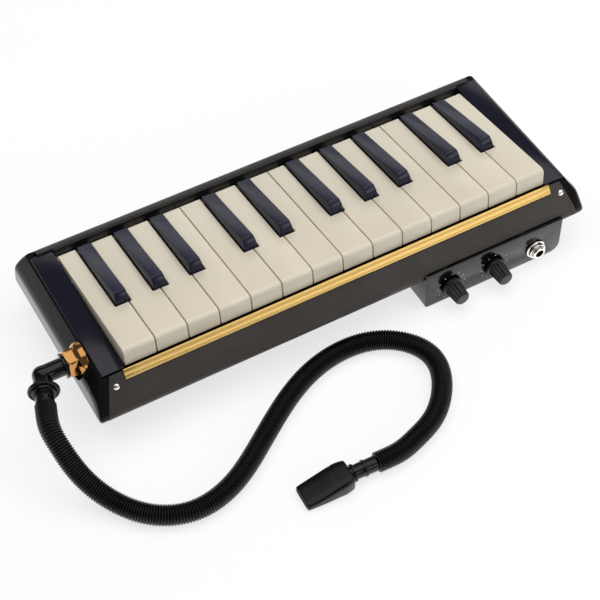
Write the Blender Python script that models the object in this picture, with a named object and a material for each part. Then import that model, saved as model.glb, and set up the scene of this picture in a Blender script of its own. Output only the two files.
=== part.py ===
"""A bass melodica: a low wind keyboard of two octaves with a blowing hose and a pickup.

All sizes are in metres, +Z is up, +Y is the back and the keys run along X.
The design frame has X = 0 in the middle of the keys and Z = 0 on the table.  The root
empty moves it so that the instrument without its hose stands over the origin.
"""
import math

import bmesh
import bpy
import numpy as np
from mathutils import Vector

MM = 0.001

# keyboard
KEY_PITCH = 22.5 * MM
KEY_GAP = 0.8 * MM
KEY_LENGTH = 104.6 * MM
KEY_DEPTH = 13.4 * MM
KEY_LEAN = 0.5 * MM
KEY_EDGE = 3.0 * MM
KEY_WALL = 2.0 * MM
KEY_TOP = 3.0 * MM
KEY_SLOPE = math.radians(8.0)
KEY_FRONT_HEIGHT = 67.0 * MM
KEY_PRESS = math.radians(3.3)
RIB_START = 60.0 * MM
RIB_WIDTH = 4.0 * MM
CAVITY_END = KEY_LENGTH - 3.6 * MM
TAIL_LENGTH = 10.4 * MM
TAIL_DROP = 6.5 * MM
BLACK_START = 39.8 * MM
BLACK_WIDTH = 10.0 * MM
BLACK_TOP_WIDTH = 8.2 * MM
BLACK_HEIGHT = 7.8 * MM
BLACK_REAR_HEIGHT = 2.0 * MM
BLACK_NOSE = 5.2 * MM
BLACK_BEVEL = 2.5 * MM
BLACK_WALL = 1.8 * MM
NOTCH_CLEARANCE = 0.9 * MM
# one octave from F: the white keys, and each black key's place beside its gap
WHITE_NAMES = "fgabcde"
BLACK_SHIFT = {1: -3.8 * MM, 2: 0.3 * MM, 3: 4.2 * MM, 5: -1.3 * MM, 6: 3.0 * MM}
OCTAVES = 2

# the shaft that the keys rock on
PIVOT_BACK = 86.0 * MM
PIVOT_DOWN = 9.5 * MM
SHAFT_RADIUS = 1.8 * MM
RUNNING = 0.3 * MM
POST_WIDTH = 5.0 * MM
POST_LENGTH = 8.0 * MM
POST_ABOVE = 4.2 * MM

# gap that touching pieces keep, and how far cutters run past the body
GAP = 0.3 * MM
BEYOND = 300.0 * MM

# outer shell
SHEET = 1.5 * MM
CAP_WALL = 5.0 * MM
CHEEK_WIDTH = 15.7 * MM
SIDE_FLARE = 9.4 * MM
SIDE_TUCK = 13.0 * MM
WAIST = 29.0 * MM
BODY_BOTTOM = 6.0 * MM
CHEEK_TOP = KEY_FRONT_HEIGHT - 14.0 * MM
RAIL_ABOVE = 1.2 * MM
CHEEK_SHEET = 1.5 * MM
CHEEK_GAP = 1.2 * MM
CHEEK_WALL = 1.8 * MM
CHEEK_WALL_BOTTOM = CHEEK_TOP - 15.0 * MM
CHEEK_CHAMFER = 0.8 * MM
CHEEK_FRONT = -1.6 * MM
FRONT_FOLD = 2.0 * MM
FRONT_BULGE = 19.0 * MM
FRONT_EDGE = -3.3 * MM
FRONT_EDGE_HEIGHT = CHEEK_TOP - 0.8 * MM
FRONT_SWELL = 0.4 * MM
FRONT_TUCK_POWER = 1.14
BACK_FOLD = KEY_LENGTH + 4.2 * MM
BACK_BULGE = 12.0 * MM
BACK_WAIST = 27.0 * MM
BACK_RISE = CHEEK_TOP + RAIL_ABOVE - BACK_WAIST
BACK_FLAT_END = KEY_LENGTH - 4.6 * MM
FRONT_SEAM = 20.0 * MM
BACK_SEAM = 86.0 * MM
SEAM_GAP = 0.3 * MM
FOOT_WIDTH = 10.0 * MM
FOOT_END_IN = 9.0 * MM
FOOT_BOX_GAP = 10.0 * MM
FRONT_FOOT_AT = 11.0 * MM
BACK_FOOT_AT = KEY_LENGTH - 11.6 * MM

# gilt trim along the front edge
TRIM_THICK = 1.0 * MM
TRIM_TOP = FRONT_EDGE_HEIGHT + 0.4 * MM
TRIM_BOTTOM = FRONT_EDGE_HEIGHT - 4.8 * MM
TRIM_END_IN = 14.0 * MM
TRIM_GROOVE = 0.35 * MM

# rail behind the keys
RAIL_FRONT = KEY_LENGTH + 3.9 * MM
RAIL_WALL = 1.7 * MM
RAIL_TOP = CHEEK_TOP + RAIL_ABOVE
RAIL_BOTTOM = RAIL_TOP - 6.0 * MM
RAIL_LEDGE = 2.8 * MM
RAIL_LEDGE_TOP = RAIL_TOP - 2.2 * MM

# inner frame
FLOOR_TOP = 11.0 * MM
FLOOR_SHEET = 2.0 * MM
FRAME_FRONT = 6.0 * MM
FRAME_WALL = 3.0 * MM
FRAME_BACK = KEY_LENGTH - 0.6 * MM
FRAME_END_GAP = 0.8 * MM
FLANGE_FRONT = 4.0 * MM
FLANGE_BACK = 20.0 * MM
FLANGE_TOP = KEY_FRONT_HEIGHT - 20.5 * MM
FLANGE_SHEET = 2.0 * MM
STOP_WALL_AT = 46.0 * MM
GUIDE_WIDTH = 3.0 * MM
GUIDE_LENGTH = 3.0 * MM
GUIDE_RISE = 8.0 * MM
FELT_FRONT = 5.0 * MM
FELT_BACK = 12.0 * MM

# wind chest with the reeds
CHEST_FRONT = 58.0 * MM
CHEST_BACK = KEY_LENGTH + 7.4 * MM
CHEST_BOTTOM = 14.0 * MM
CHEST_TOP = KEY_FRONT_HEIGHT - 32.3 * MM
CHEST_WALL = 2.5 * MM
SLOT_WIDTH = 5.0 * MM
SLOT_FRONT = KEY_LENGTH - 3.1 * MM
SLOT_BACK = KEY_LENGTH + 4.4 * MM
SLOT_MARGIN = 1.5 * MM
PAD_MARGIN = 1.3 * MM
PAD_BACK_MARGIN = 2.4 * MM
LID_SHEET = 2.4 * MM
LID_BACK = CHEST_BACK - 1.0 * MM
INLET_FRONT = 66.0 * MM
INLET_BACK = 90.0 * MM
INLET_BOTTOM = 18.0 * MM
INLET_TOP = 29.0 * MM
REED_SHEET = 1.5 * MM
REED_MARGIN = 1.5 * MM
REED_SPLIT = 2.0 * MM
REED_LONGEST = CHEST_BACK - CHEST_FRONT - 14.0 * MM
REED_SHORTEST = 0.6 * REED_LONGEST
REED_WIDTH = 3.2 * MM
REED_SLIT = 0.6 * MM
RAIL_BASE = 3.0 * MM
RAIL_BASE_BEFORE = 8.0 * MM
RAIL_BASE_BEHIND = 8.0 * MM
SPRING_SHEET = 0.5 * MM
SPRING_WIDTH = 3.0 * MM
SPRING_STRIP = 3.0 * MM

# air duct and blowing socket at the left end
DUCT_WIDTH = 8.2 * MM
DUCT_WALL = 1.5 * MM
DUCT_FRONT = 14.0 * MM
DUCT_BACK = KEY_LENGTH - 4.6 * MM
SOCKET_BACK = 24.0 * MM
SOCKET_HEIGHT = CHEEK_TOP - 8.0 * MM
SOCKET_SEAT_OUT = 1.0 * MM
SOCKET_RECESS = 12.3 * MM
SOCKET_SPIGOT = 6.5 * MM
SOCKET_BORE = 4.5 * MM
SOCKET_COLLAR = 10.5 * MM
SOCKET_COLLAR_LENGTH = 4.7 * MM
NUT_FLATS = 17.0 * MM
NUT_LENGTH = 8.0 * MM

# elbow and hose
ELBOW_BORE = 3.4 * MM
ELBOW_RADIUS = 6.0 * MM
ELBOW_OUT_RADIUS = 6.8 * MM
ELBOW_DISC = 8.5 * MM
ELBOW_DISC_SHEET = 1.5 * MM
ELBOW_NECK = 2.0 * MM
ELBOW_REACH = 14.1 * MM
ELBOW_BEND = 8.0 * MM
ELBOW_TURN = math.radians(72.0)
ELBOW_LEG = 11.2 * MM
PLUG_LENGTH = 11.5 * MM
COLLAR_FLANGE = 10.3 * MM
COLLAR_FLANGE_SHEET = 2.5 * MM
COLLAR_NECK = 5.3 * MM
COLLAR_NECK_LENGTH = 6.0 * MM
COLLAR_SHOULDER = 6.0 * MM
COLLAR_SHOULDER_LENGTH = 3.0 * MM
COLLAR_TAIL = 4.0 * MM
BARB_LENGTH = 9.0 * MM
HOSE_RADIUS = 6.95 * MM
HOSE_VALLEY = 6.05 * MM
HOSE_BORE = 4.4 * MM
HOSE_RIBS = 132
HOSE_LIE = 7.1 * MM
CONNECTOR_LENGTH = 19.0 * MM
CONNECTOR_RADIUS = 5.0 * MM
CONNECTOR_BORE = 2.6 * MM
RING_RADIUS = 5.6 * MM
END_RING_RADIUS = 6.1 * MM
RING_SHEET = 1.6 * MM
RING_AT = 8.8 * MM
END_RING_AT = 16.6 * MM
MOUTH_LENGTH = 31.0 * MM
MOUTH_LIP = 6.0 * MM
MOUTH_HEIGHT = 14.0 * MM
MOUTH_LIP_WIDTH = 17.6 * MM
MOUTH_WIDTH = 19.6 * MM
MOUTH_BACK_WIDTH = 15.8 * MM
MOUTH_SLOT = 13.6 * MM
MOUTH_SLOT_HEIGHT = 2.4 * MM
MOUTH_SLOT_DEPTH = 16.0 * MM
# the hose's way over the table from below the elbow's corner, hand laid: it drops and lies in a loose S
HOSE_ROUTE = [
    (-0.0113, -0.0485, 0.0396), (-0.0079, -0.0616, 0.0282), (-0.0024, -0.0730, 0.0185),
    (0.0066, -0.0855, 0.0105), (0.0218, -0.1021, 0.0071), (0.0467, -0.1135, 0.0071),
    (0.0751, -0.1088, 0.0071), (0.1024, -0.0924, 0.0071), (0.1296, -0.0730, 0.0071),
    (0.1592, -0.0568, 0.0071), (0.1910, -0.0504, 0.0071), (0.2204, -0.0582, 0.0071),
    (0.2382, -0.0824, 0.0071), (0.2253, -0.1154, 0.0071), (0.1957, -0.1324, 0.0071),
]
HOSE_END_AT = (0.1626, -0.1384, 0.0071)
HOSE_END_WAY = math.radians(178.0)

# pickup box with its knobs and jack
BOX_END_IN = 9.5 * MM
BOX_LENGTH = 110.0 * MM
BOX_FRONT = -18.5 * MM
BOX_BACK = 45.0 * MM
BOX_BOTTOM = 0.6 * MM
BOX_TOP = 31.3 * MM
BOX_WALL = 2.0 * MM
BOX_LEFT_ROUND = 3.0 * MM
BOX_RIGHT_ROUND = 7.0 * MM
VOLUME_FROM_LEFT = 20.5 * MM
KNOB_PITCH = 35.0 * MM
KNOB_HEIGHT = 13.3 * MM
KNOB_SKIRT = 7.75 * MM
KNOB_SKIRT_SHEET = 2.5 * MM
KNOB_BASE = 6.25 * MM
KNOB_TIP = 5.3 * MM
KNOB_LENGTH = 14.5 * MM
KNOB_FLUTES = 18
KNOB_FLUTE_DEPTH = 0.45 * MM
KNOB_STANDOFF = 0.5 * MM
POT_RADIUS = 8.0 * MM
POT_LENGTH = 8.0 * MM
POT_BUSH = 3.5 * MM
POT_SHAFT = 3.0 * MM
POT_SHAFT_LENGTH = 12.5 * MM
JACK_FROM_RIGHT = 21.0 * MM
JACK_HEIGHT = 12.5 * MM
JACK_BUSH = 4.75 * MM
JACK_OUT = 6.0 * MM
JACK_BORE = 3.2 * MM
JACK_BODY = 14.0 * MM
JACK_BODY_LENGTH = 24.0 * MM
JACK_BORE_DEPTH = 27.0 * MM
JACK_WASHER = 7.25 * MM
JACK_WASHER_SHEET = 1.0 * MM
JACK_NUT = 6.25 * MM
JACK_NUT_SHEET = 2.5 * MM
BOARD_SHEET = 1.6 * MM
BOARD_LENGTH = 66.0 * MM
BOARD_HEIGHT = 25.0 * MM
CAN_RADIUS = 3.0 * MM
CAN_LENGTH = 9.0 * MM
CAN_PITCH = 18.0 * MM
CAN_FROM_MIDDLE = 14.0 * MM
PLUG_STRIP = 10.0 * MM
PLUG_STRIP_FROM_MIDDLE = 14.0 * MM

# spit valve button at the right end
DRAIN_BACK = 85.0 * MM
DRAIN_HEIGHT = CHEST_TOP - 10.7 * MM
DRAIN_HEAD = 4.0 * MM
DRAIN_OUT = 2.5 * MM
DRAIN_FLANGE = 5.6 * MM
DRAIN_FLANGE_SHEET = 2.0 * MM
DRAIN_FLANGE_OUT = 2.3 * MM
DRAIN_ROD = 2.0 * MM
DRAIN_DISC = 4.6 * MM
DRAIN_DISC_SHEET = 2.2 * MM


def start_empty():
    for thing in list(bpy.data.objects):
        bpy.data.objects.remove(thing, do_unlink=True)


def solid_material(name, colour, roughness, metallic=0.0, coat=0.0):
    material = bpy.data.materials.new(name)
    material.use_nodes = True
    shader = material.node_tree.nodes["Principled BSDF"]
    shader.inputs["Base Color"].default_value = (*colour, 1.0)
    shader.inputs["Roughness"].default_value = roughness
    shader.inputs["Metallic"].default_value = metallic
    shader.inputs["Coat Weight"].default_value = coat
    material.diffuse_color = (*colour, 1.0)
    return material


def place(name, shape, look=None, at=(0, 0, 0), turn=(0, 0, 0), parent=None, smooth=None):
    """Make an object of a bmesh.  Without a look it is a cutter."""
    bmesh.ops.recalc_face_normals(shape, faces=shape.faces)
    mesh = bpy.data.meshes.new(name)
    shape.to_mesh(mesh)
    shape.free()
    piece = bpy.data.objects.new(name, mesh)
    bpy.context.scene.collection.objects.link(piece)
    piece.location = at
    piece.rotation_euler = turn
    piece.parent = ROOT if parent is None else parent
    if look is None:
        piece.hide_render = True
        piece.display_type = "WIRE"
    else:
        mesh.materials.append(solid_material(name, *look))
    if smooth is not None:
        mesh.shade_smooth()
        mesh.set_sharp_from_angle(angle=math.radians(smooth))
    return piece


def boolean(piece, shape, operation="DIFFERENCE", label="cut"):
    """Cut a shape out of a piece, or join or intersect it, in the piece's own frame."""
    cutter = place(piece.name + "_" + label, shape, parent=piece)
    step = piece.modifiers.new(label, "BOOLEAN")
    step.operation = operation
    step.solver = "EXACT"
    step.object = cutter
    return cutter


def prism(outline, axis, low, high, shape=None):
    """Extrude a closed outline along an axis.  The outline holds the two other coordinates."""
    shape = shape or bmesh.new()
    order = {"x": lambda u, v, w: (w, u, v), "y": lambda u, v, w: (u, w, v), "z": lambda u, v, w: (u, v, w)}
    ends = []
    for level in (low, high):
        ends.append([shape.verts.new(order[axis](u, v, level)) for u, v in outline])
    shape.faces.new(ends[0])
    shape.faces.new(list(reversed(ends[1])))
    count = len(outline)
    for i in range(count):
        j = (i + 1) % count
        shape.faces.new((ends[0][i], ends[1][i], ends[1][j], ends[0][j]))
    return shape


def block(low, high, shape=None):
    outline = [(low[0], low[1]), (high[0], low[1]), (high[0], high[1]), (low[0], high[1])]
    return prism(outline, "z", low[2], high[2], shape)


def blocks(pairs):
    shape = bmesh.new()
    for low, high in pairs:
        block(low, high, shape)
    return shape


def circle(u, v, radius, sides, start=0.0):
    turn = 2 * math.pi / sides
    return [(u + radius * math.cos(start + i * turn), v + radius * math.sin(start + i * turn)) for i in range(sides)]


def side_axes(way):
    """Two directions square to a way: the first level, the second upward."""
    way = Vector(way).normalized()
    level = Vector((0, 0, 1)).cross(way)
    if level.length < 1e-6:
        level = Vector((1, 0, 0))
    level.normalize()
    return level, way.cross(level)


def loop(shape, centre, way, radius, sides, flute=0.0):
    """One ring of points round a centre; every second one may be drawn in by a flute."""
    level, upward = side_axes(way)
    ring = []
    for i in range(sides):
        angle = 2 * math.pi * (i + 0.5) / sides
        reach = radius - (flute if i % 2 else 0.0)
        ring.append(shape.verts.new(Vector(centre) + level * reach * math.cos(angle) + upward * reach * math.sin(angle)))
    return ring


def skin(shape, rings, closed_back=False):
    """Bridge a row of rings; closed_back joins the last to the first, else both ends get a cap."""
    count = len(rings[0])
    pairs = list(zip(rings, rings[1:]))
    if closed_back:
        pairs.append((rings[-1], rings[0]))
    for a, b in pairs:
        for i in range(count):
            j = (i + 1) % count
            shape.faces.new((a[i], a[j], b[j], b[i]))
    if not closed_back:
        shape.faces.new(rings[0])
        shape.faces.new(list(reversed(rings[-1])))
    return shape


def turned(origin, way, outer, inner=(), sides=24, shape=None):
    """Turn a profile of (distance, radius) steps about a line; an inner profile leaves a bore."""
    shape = shape or bmesh.new()
    origin = Vector(origin)
    way = Vector(way).normalized()
    rings = [loop(shape, origin + way * s, way, r, sides) for s, r in outer]
    if not inner:
        return skin(shape, rings)
    rings += [loop(shape, origin + way * s, way, r, sides) for s, r in reversed(inner)]
    return skin(shape, rings, closed_back=True)


def key_to_body(back, up):
    """Key coordinates (along the key, above its top face) to design Y and Z."""
    return (
        back * math.cos(KEY_SLOPE) + up * math.sin(KEY_SLOPE),
        KEY_FRONT_HEIGHT - back * math.sin(KEY_SLOPE) + up * math.cos(KEY_SLOPE),
    )


def body_to_key(y, z):
    z = z - KEY_FRONT_HEIGHT
    return y * math.cos(KEY_SLOPE) - z * math.sin(KEY_SLOPE), y * math.sin(KEY_SLOPE) + z * math.cos(KEY_SLOPE)


def key_bottom_at(y):
    """Height of a key's lower edge over a place on the body."""
    back = (y + KEY_DEPTH * math.sin(KEY_SLOPE)) / math.cos(KEY_SLOPE)
    return key_to_body(back, -KEY_DEPTH)[1]


def pressed_bottom_at(y):
    """The same height with the key at the end of its travel."""
    away = PIVOT_Y - y
    lift = key_bottom_at(y) - PIVOT_Z
    return PIVOT_Z + lift * math.cos(KEY_PRESS) - away * math.sin(KEY_PRESS)


WHITE_COUNT = 7 * OCTAVES
KEYS_HALF = WHITE_COUNT * KEY_PITCH / 2
PIVOT_Y, PIVOT_Z = key_to_body(PIVOT_BACK, -PIVOT_DOWN)
PAD_HEIGHT = CHEST_TOP + GAP
CHEEK_IN = KEYS_HALF - KEY_GAP / 2 + CHEEK_GAP
TOP_HALF_LENGTH = CHEEK_IN + CHEEK_WIDTH
SHAFT_HALF = CHEEK_IN - GAP
CHEEK_BACK = RAIL_FRONT + RAIL_WALL
CAP_TOP = CHEEK_TOP - CHEEK_SHEET - GAP
DUCT_RIGHT = -(CHEEK_IN + CHEEK_WALL + GAP)
DUCT_LEFT = DUCT_RIGHT - DUCT_WIDTH
CHEST_LEFT = DUCT_RIGHT + GAP
PAD_FRONT = SLOT_FRONT - PAD_MARGIN
PAD_BACK = SLOT_BACK + PAD_BACK_MARGIN
SOCKET_SEAT = -(TOP_HALF_LENGTH + SOCKET_SEAT_OUT)
DRAIN_FLANGE_AT = TOP_HALF_LENGTH + DRAIN_FLANGE_OUT
FOOT_HALF_LENGTH = TOP_HALF_LENGTH - FOOT_END_IN
TRIM_HALF_LENGTH = TOP_HALF_LENGTH - TRIM_END_IN
RAIL_BASE_FRONT = PIVOT_Y - RAIL_BASE_BEFORE
RAIL_BASE_BACK = PIVOT_Y + RAIL_BASE_BEHIND
SHELF = FLOOR_TOP + GAP
COLLAR_START = ELBOW_LEG + GAP
COLLAR_END = COLLAR_START + COLLAR_FLANGE_SHEET + COLLAR_NECK_LENGTH + COLLAR_SHOULDER_LENGTH
NUT_END = SOCKET_SEAT - GAP - SOCKET_COLLAR_LENGTH - NUT_LENGTH
ELBOW_CORNER = Vector((NUT_END - ELBOW_NECK - ELBOW_REACH, SOCKET_BACK, SOCKET_HEIGHT))
ELBOW_OUT = Vector((-math.cos(ELBOW_TURN), -math.sin(ELBOW_TURN), 0.0))
HOSE_START = ELBOW_CORNER + ELBOW_OUT * (COLLAR_END + GAP)
HOSE_END = (ELBOW_CORNER.x + HOSE_END_AT[0], ELBOW_CORNER.y + HOSE_END_AT[1], HOSE_END_AT[2])
BOX_RIGHT = TOP_HALF_LENGTH - BOX_END_IN
BOX_LEFT = BOX_RIGHT - BOX_LENGTH
VOLUME_AT = BOX_LEFT + VOLUME_FROM_LEFT
BALANCE_AT = VOLUME_AT + KNOB_PITCH
JACK_AT = BOX_RIGHT - JACK_FROM_RIGHT
KNOB_BACK = BOX_FRONT - KNOB_STANDOFF


def outer_x(z):
    """Half the body's length at a height: it flares to the waist and tucks in below it."""
    if z >= WAIST:
        part = min(max((CHEEK_TOP - z) / (CHEEK_TOP - WAIST), 0.0), 1.0)
        return TOP_HALF_LENGTH + SIDE_FLARE * part ** 0.85
    part = min((WAIST - z) / (WAIST - BODY_BOTTOM), 1.0)
    return TOP_HALF_LENGTH + SIDE_FLARE - SIDE_TUCK * (1 - math.sqrt(max(1 - part * part, 0.0)))


def front_y(z):
    """How far back the sloping front face is at a height above the waist; it swells a little."""
    nose = FRONT_FOLD - FRONT_BULGE
    part = (z - WAIST) / (FRONT_EDGE_HEIGHT - WAIST)
    return nose + (FRONT_EDGE - nose) * part - 4 * FRONT_SWELL * part * (1 - part)


def front_curve(steps, low_steps, top):
    """The front of the cross-section: the sloping face from a top height, then the tuck below the waist."""
    points = []
    for i in range(steps + 1):
        z = top + (WAIST - top) * i / steps
        points.append((front_y(z), z))
    drop = WAIST - BODY_BOTTOM
    for i in range(1, low_steps + 1):
        angle = math.pi / 2 * i / low_steps
        y = FRONT_FOLD - FRONT_BULGE * max(math.cos(angle), 0.0) ** (2 / FRONT_TUCK_POWER)
        points.append((y, WAIST - drop * math.sin(angle) ** (2 / FRONT_TUCK_POWER)))
    return points


def back_curve(steps, low_steps, end):
    """The back of the cross-section from the flat bottom round and up to its top edge."""
    points = []
    reach = BACK_FOLD + BACK_BULGE - BACK_FLAT_END
    drop = BACK_WAIST - BODY_BOTTOM
    for i in range(low_steps):
        angle = math.pi / 2 * (1 - i / low_steps)
        points.append((BACK_FLAT_END + reach * math.cos(angle), BACK_WAIST - drop * math.sin(angle)))
    last = math.acos(min(((end - BACK_FOLD) / BACK_BULGE) ** 1.5, 1.0))
    for i in range(steps + 1):
        angle = last * i / steps
        y = BACK_FOLD + BACK_BULGE * math.cos(angle) ** (2 / 3)
        points.append((y, BACK_WAIST + BACK_RISE * math.sin(angle) ** (2 / 3)))
    return points


def sheet_outline(points, thickness):
    """A strip of even thickness on the inner side of a path, as a closed outline."""
    inner = []
    for i, (y, z) in enumerate(points):
        ahead = points[min(i + 1, len(points) - 1)]
        behind = points[max(i - 1, 0)]
        dy, dz = ahead[0] - behind[0], ahead[1] - behind[1]
        size = math.hypot(dy, dz)
        inner.append((y - dz / size * thickness, z + dy / size * thickness))
    return points + inner[::-1]


def length_outline(inset, steps=9):
    """The body seen from the front, drawn in by an inset, to trim the covers' ends."""
    heights = [BODY_BOTTOM - 2 * MM] + [BODY_BOTTOM + (WAIST - BODY_BOTTOM) * math.sin(math.pi / 2 * i / steps) ** 1.3 for i in range(1, steps)]
    heights += [WAIST + (CHEEK_TOP - WAIST) * i / 4 for i in range(5)]
    heights.append(RAIL_TOP + 4 * MM)
    right = [(outer_x(max(z, BODY_BOTTOM)) - inset, z) for z in heights]
    return right + [(-x, z) for x, z in reversed(right)]


def tail_outline():
    """The back of a key's side view: tail and the pad that lies on the wind chest."""
    end = KEY_LENGTH + TAIL_LENGTH
    pad_back = body_to_key(PAD_BACK, PAD_HEIGHT)
    pad_front = body_to_key(PAD_FRONT, PAD_HEIGHT)
    return [
        (KEY_LENGTH, -TAIL_DROP), (end, -TAIL_DROP), (end, -KEY_DEPTH), pad_back, pad_front,
        (pad_front[0] - 0.4 * MM, -KEY_DEPTH),
    ]


def hook_cutter(half_width):
    """The slot under a key that lets it drop over the shaft, open below and round on top."""
    radius = SHAFT_RADIUS + RUNNING
    low = -(KEY_DEPTH - PIVOT_DOWN) - 2 * MM
    arch = [(radius * math.cos(a), radius * math.sin(a)) for a in (math.pi * i / 6 for i in range(7))]
    return prism([(radius, low)] + arch + [(-radius, low)], "x", -half_width, half_width)


def key_object(name, x, profile_shape, cavities, half, look):
    piece = place(name, profile_shape, look, at=(x, PIVOT_Y, PIVOT_Z), turn=(-KEY_SLOPE, 0, 0))
    boolean(piece, blocks(cavities), label="hollow")
    boolean(piece, hook_cutter(half + 2 * MM), label="hook")
    return piece


def key_frame(points):
    return [(back - PIVOT_BACK, up + PIVOT_DOWN) for back, up in points]


def black_at(boundary):
    """The middle of the black key at a gap between white keys, or None."""
    shift = BLACK_SHIFT.get(boundary % 7)
    if shift is None or boundary >= WHITE_COUNT:
        return None
    return -KEYS_HALF + boundary * KEY_PITCH + shift


def rear_span(index):
    """The part of a white key between its black neighbours, left and right."""
    left = -KEYS_HALF + index * KEY_PITCH + KEY_GAP / 2
    right = left + KEY_PITCH - KEY_GAP
    notch = BLACK_WIDTH / 2 + NOTCH_CLEARANCE
    before, after = black_at(index), black_at(index + 1)
    rear_left = left if before is None else before + notch
    rear_right = right if after is None else after - notch
    return left, right, rear_left, rear_right


def white_key(index, name):
    left, right, rear_left, rear_right = rear_span(index)
    middle = (left + right) / 2
    half = (right - left) / 2
    edge = [
        (KEY_EDGE * (1 - math.cos(a)), -KEY_EDGE * (1 - math.sin(a)))
        for a in (math.pi / 2 * i / 4 for i in range(5))
    ]
    profile = key_frame([(KEY_LEAN, -KEY_DEPTH)] + edge + [(KEY_LENGTH, 0.0)] + tail_outline())
    shape = prism(profile, "x", -half, half)
    back = lambda value: value - PIVOT_BACK
    low = PIVOT_DOWN - KEY_DEPTH - 8 * MM
    top = PIVOT_DOWN + 5 * MM
    notch_start = back(BLACK_START - NOTCH_CLEARANCE)
    notch_end = back(KEY_LENGTH + TAIL_LENGTH) + 5 * MM
    cuts = []
    if rear_left > left:
        cuts.append(((-half - 1 * MM, notch_start, low), (rear_left - middle, notch_end, top)))
    if rear_right < right:
        cuts.append(((rear_right - middle, notch_start, low), (half + 1 * MM, notch_end, top)))
    ceiling = PIVOT_DOWN - KEY_TOP
    neck_left, neck_right = rear_left - middle + KEY_WALL, rear_right - middle - KEY_WALL
    wide_left = -half + KEY_WALL
    wide_right = half - KEY_WALL
    wide_end = notch_start - KEY_WALL
    bottom = PIVOT_DOWN - KEY_DEPTH - 1 * MM
    cuts.append(((wide_left, back(KEY_LEAN + KEY_WALL), bottom), (wide_right, wide_end, ceiling)))
    cuts.append(((neck_left, back(RIB_START + RIB_WIDTH), bottom), (neck_right, back(CAVITY_END), ceiling)))
    return key_object(name, middle, shape, cuts, half, ((0.78, 0.70, 0.55), 0.22, 0.0, 0.3))


def black_key(boundary, name):
    middle = black_at(boundary)
    half = BLACK_WIDTH / 2
    drawn = (BLACK_WIDTH - BLACK_TOP_WIDTH) / 2 / BLACK_HEIGHT
    nose = BLACK_START + 0.1 * MM
    lower = [(BLACK_START, -KEY_DEPTH), (nose, 0.0), (KEY_LENGTH, 0.0)] + tail_outline()
    upper = [
        (nose, 0.0), (nose + 1.1 * MM, BLACK_NOSE), (nose + 1.1 * MM + BLACK_BEVEL, BLACK_HEIGHT),
        (KEY_LENGTH - 1.6 * MM, BLACK_REAR_HEIGHT), (KEY_LENGTH, BLACK_REAR_HEIGHT - 0.6 * MM), (KEY_LENGTH, 0.0),
    ]
    shape = bmesh.new()
    points = {}
    for side in (-1, 1):
        for back, up in lower + upper:
            width = half - max(up, 0.0) * drawn
            key = (side, back, up)
            if key not in points:
                points[key] = shape.verts.new((side * width, back - PIVOT_BACK, up + PIVOT_DOWN))
        shape.faces.new([points[(side, b, u)] for b, u in lower])
        shape.faces.new([points[(side, b, u)] for b, u in upper])
    rim = [lower[0]] + upper[:-1] + [upper[-1]] + lower[3:]
    for a, b in zip(rim, rim[1:] + rim[:1]):
        shape.faces.new([points[(-1, *a)], points[(-1, *b)], points[(1, *b)], points[(1, *a)]])
    inside = half - BLACK_WALL
    back = lambda value: value - PIVOT_BACK
    bottom = PIVOT_DOWN - KEY_DEPTH - 1 * MM
    ceiling = PIVOT_DOWN - KEY_TOP
    cuts = [
        ((-inside, back(BLACK_START + KEY_WALL), bottom), (inside, back(RIB_START), ceiling)),
        ((-inside, back(RIB_START + RIB_WIDTH), bottom), (inside, back(CAVITY_END), ceiling)),
    ]
    return key_object(name, middle, shape, cuts, half, ((0.012, 0.013, 0.018), 0.12, 0.0, 0.5))


def key_list():
    """Every key from the left: its name, kind, index and the middle of its tail."""
    keys = []
    number = 0
    for index in range(WHITE_COUNT):
        letter = WHITE_NAMES[index % 7]
        number += 1
        left, right, rear_left, rear_right = rear_span(index)
        keys.append(("key_%02d_%s" % (number, letter), "white", index, (rear_left + rear_right) / 2))
        if black_at(index + 1) is not None:
            number += 1
            keys.append(("key_%02d_%s_sharp" % (number, letter), "black", index + 1, black_at(index + 1)))
    return keys


CHEST_RIGHT = key_list()[-1][3] + SLOT_WIDTH / 2 + SLOT_MARGIN + CHEST_WALL


def make_keys():
    for name, kind, index, middle in key_list():
        if kind == "white":
            white_key(index, name)
        else:
            black_key(index, name)


def box_clearance():
    """The room that the pickup box takes out of the covers and the frame."""
    return block(
        (BOX_LEFT - GAP, BOX_FRONT - BEYOND, -BEYOND),
        (BOX_RIGHT + GAP, BOX_BACK + GAP, BOX_TOP + GAP),
    )


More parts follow.
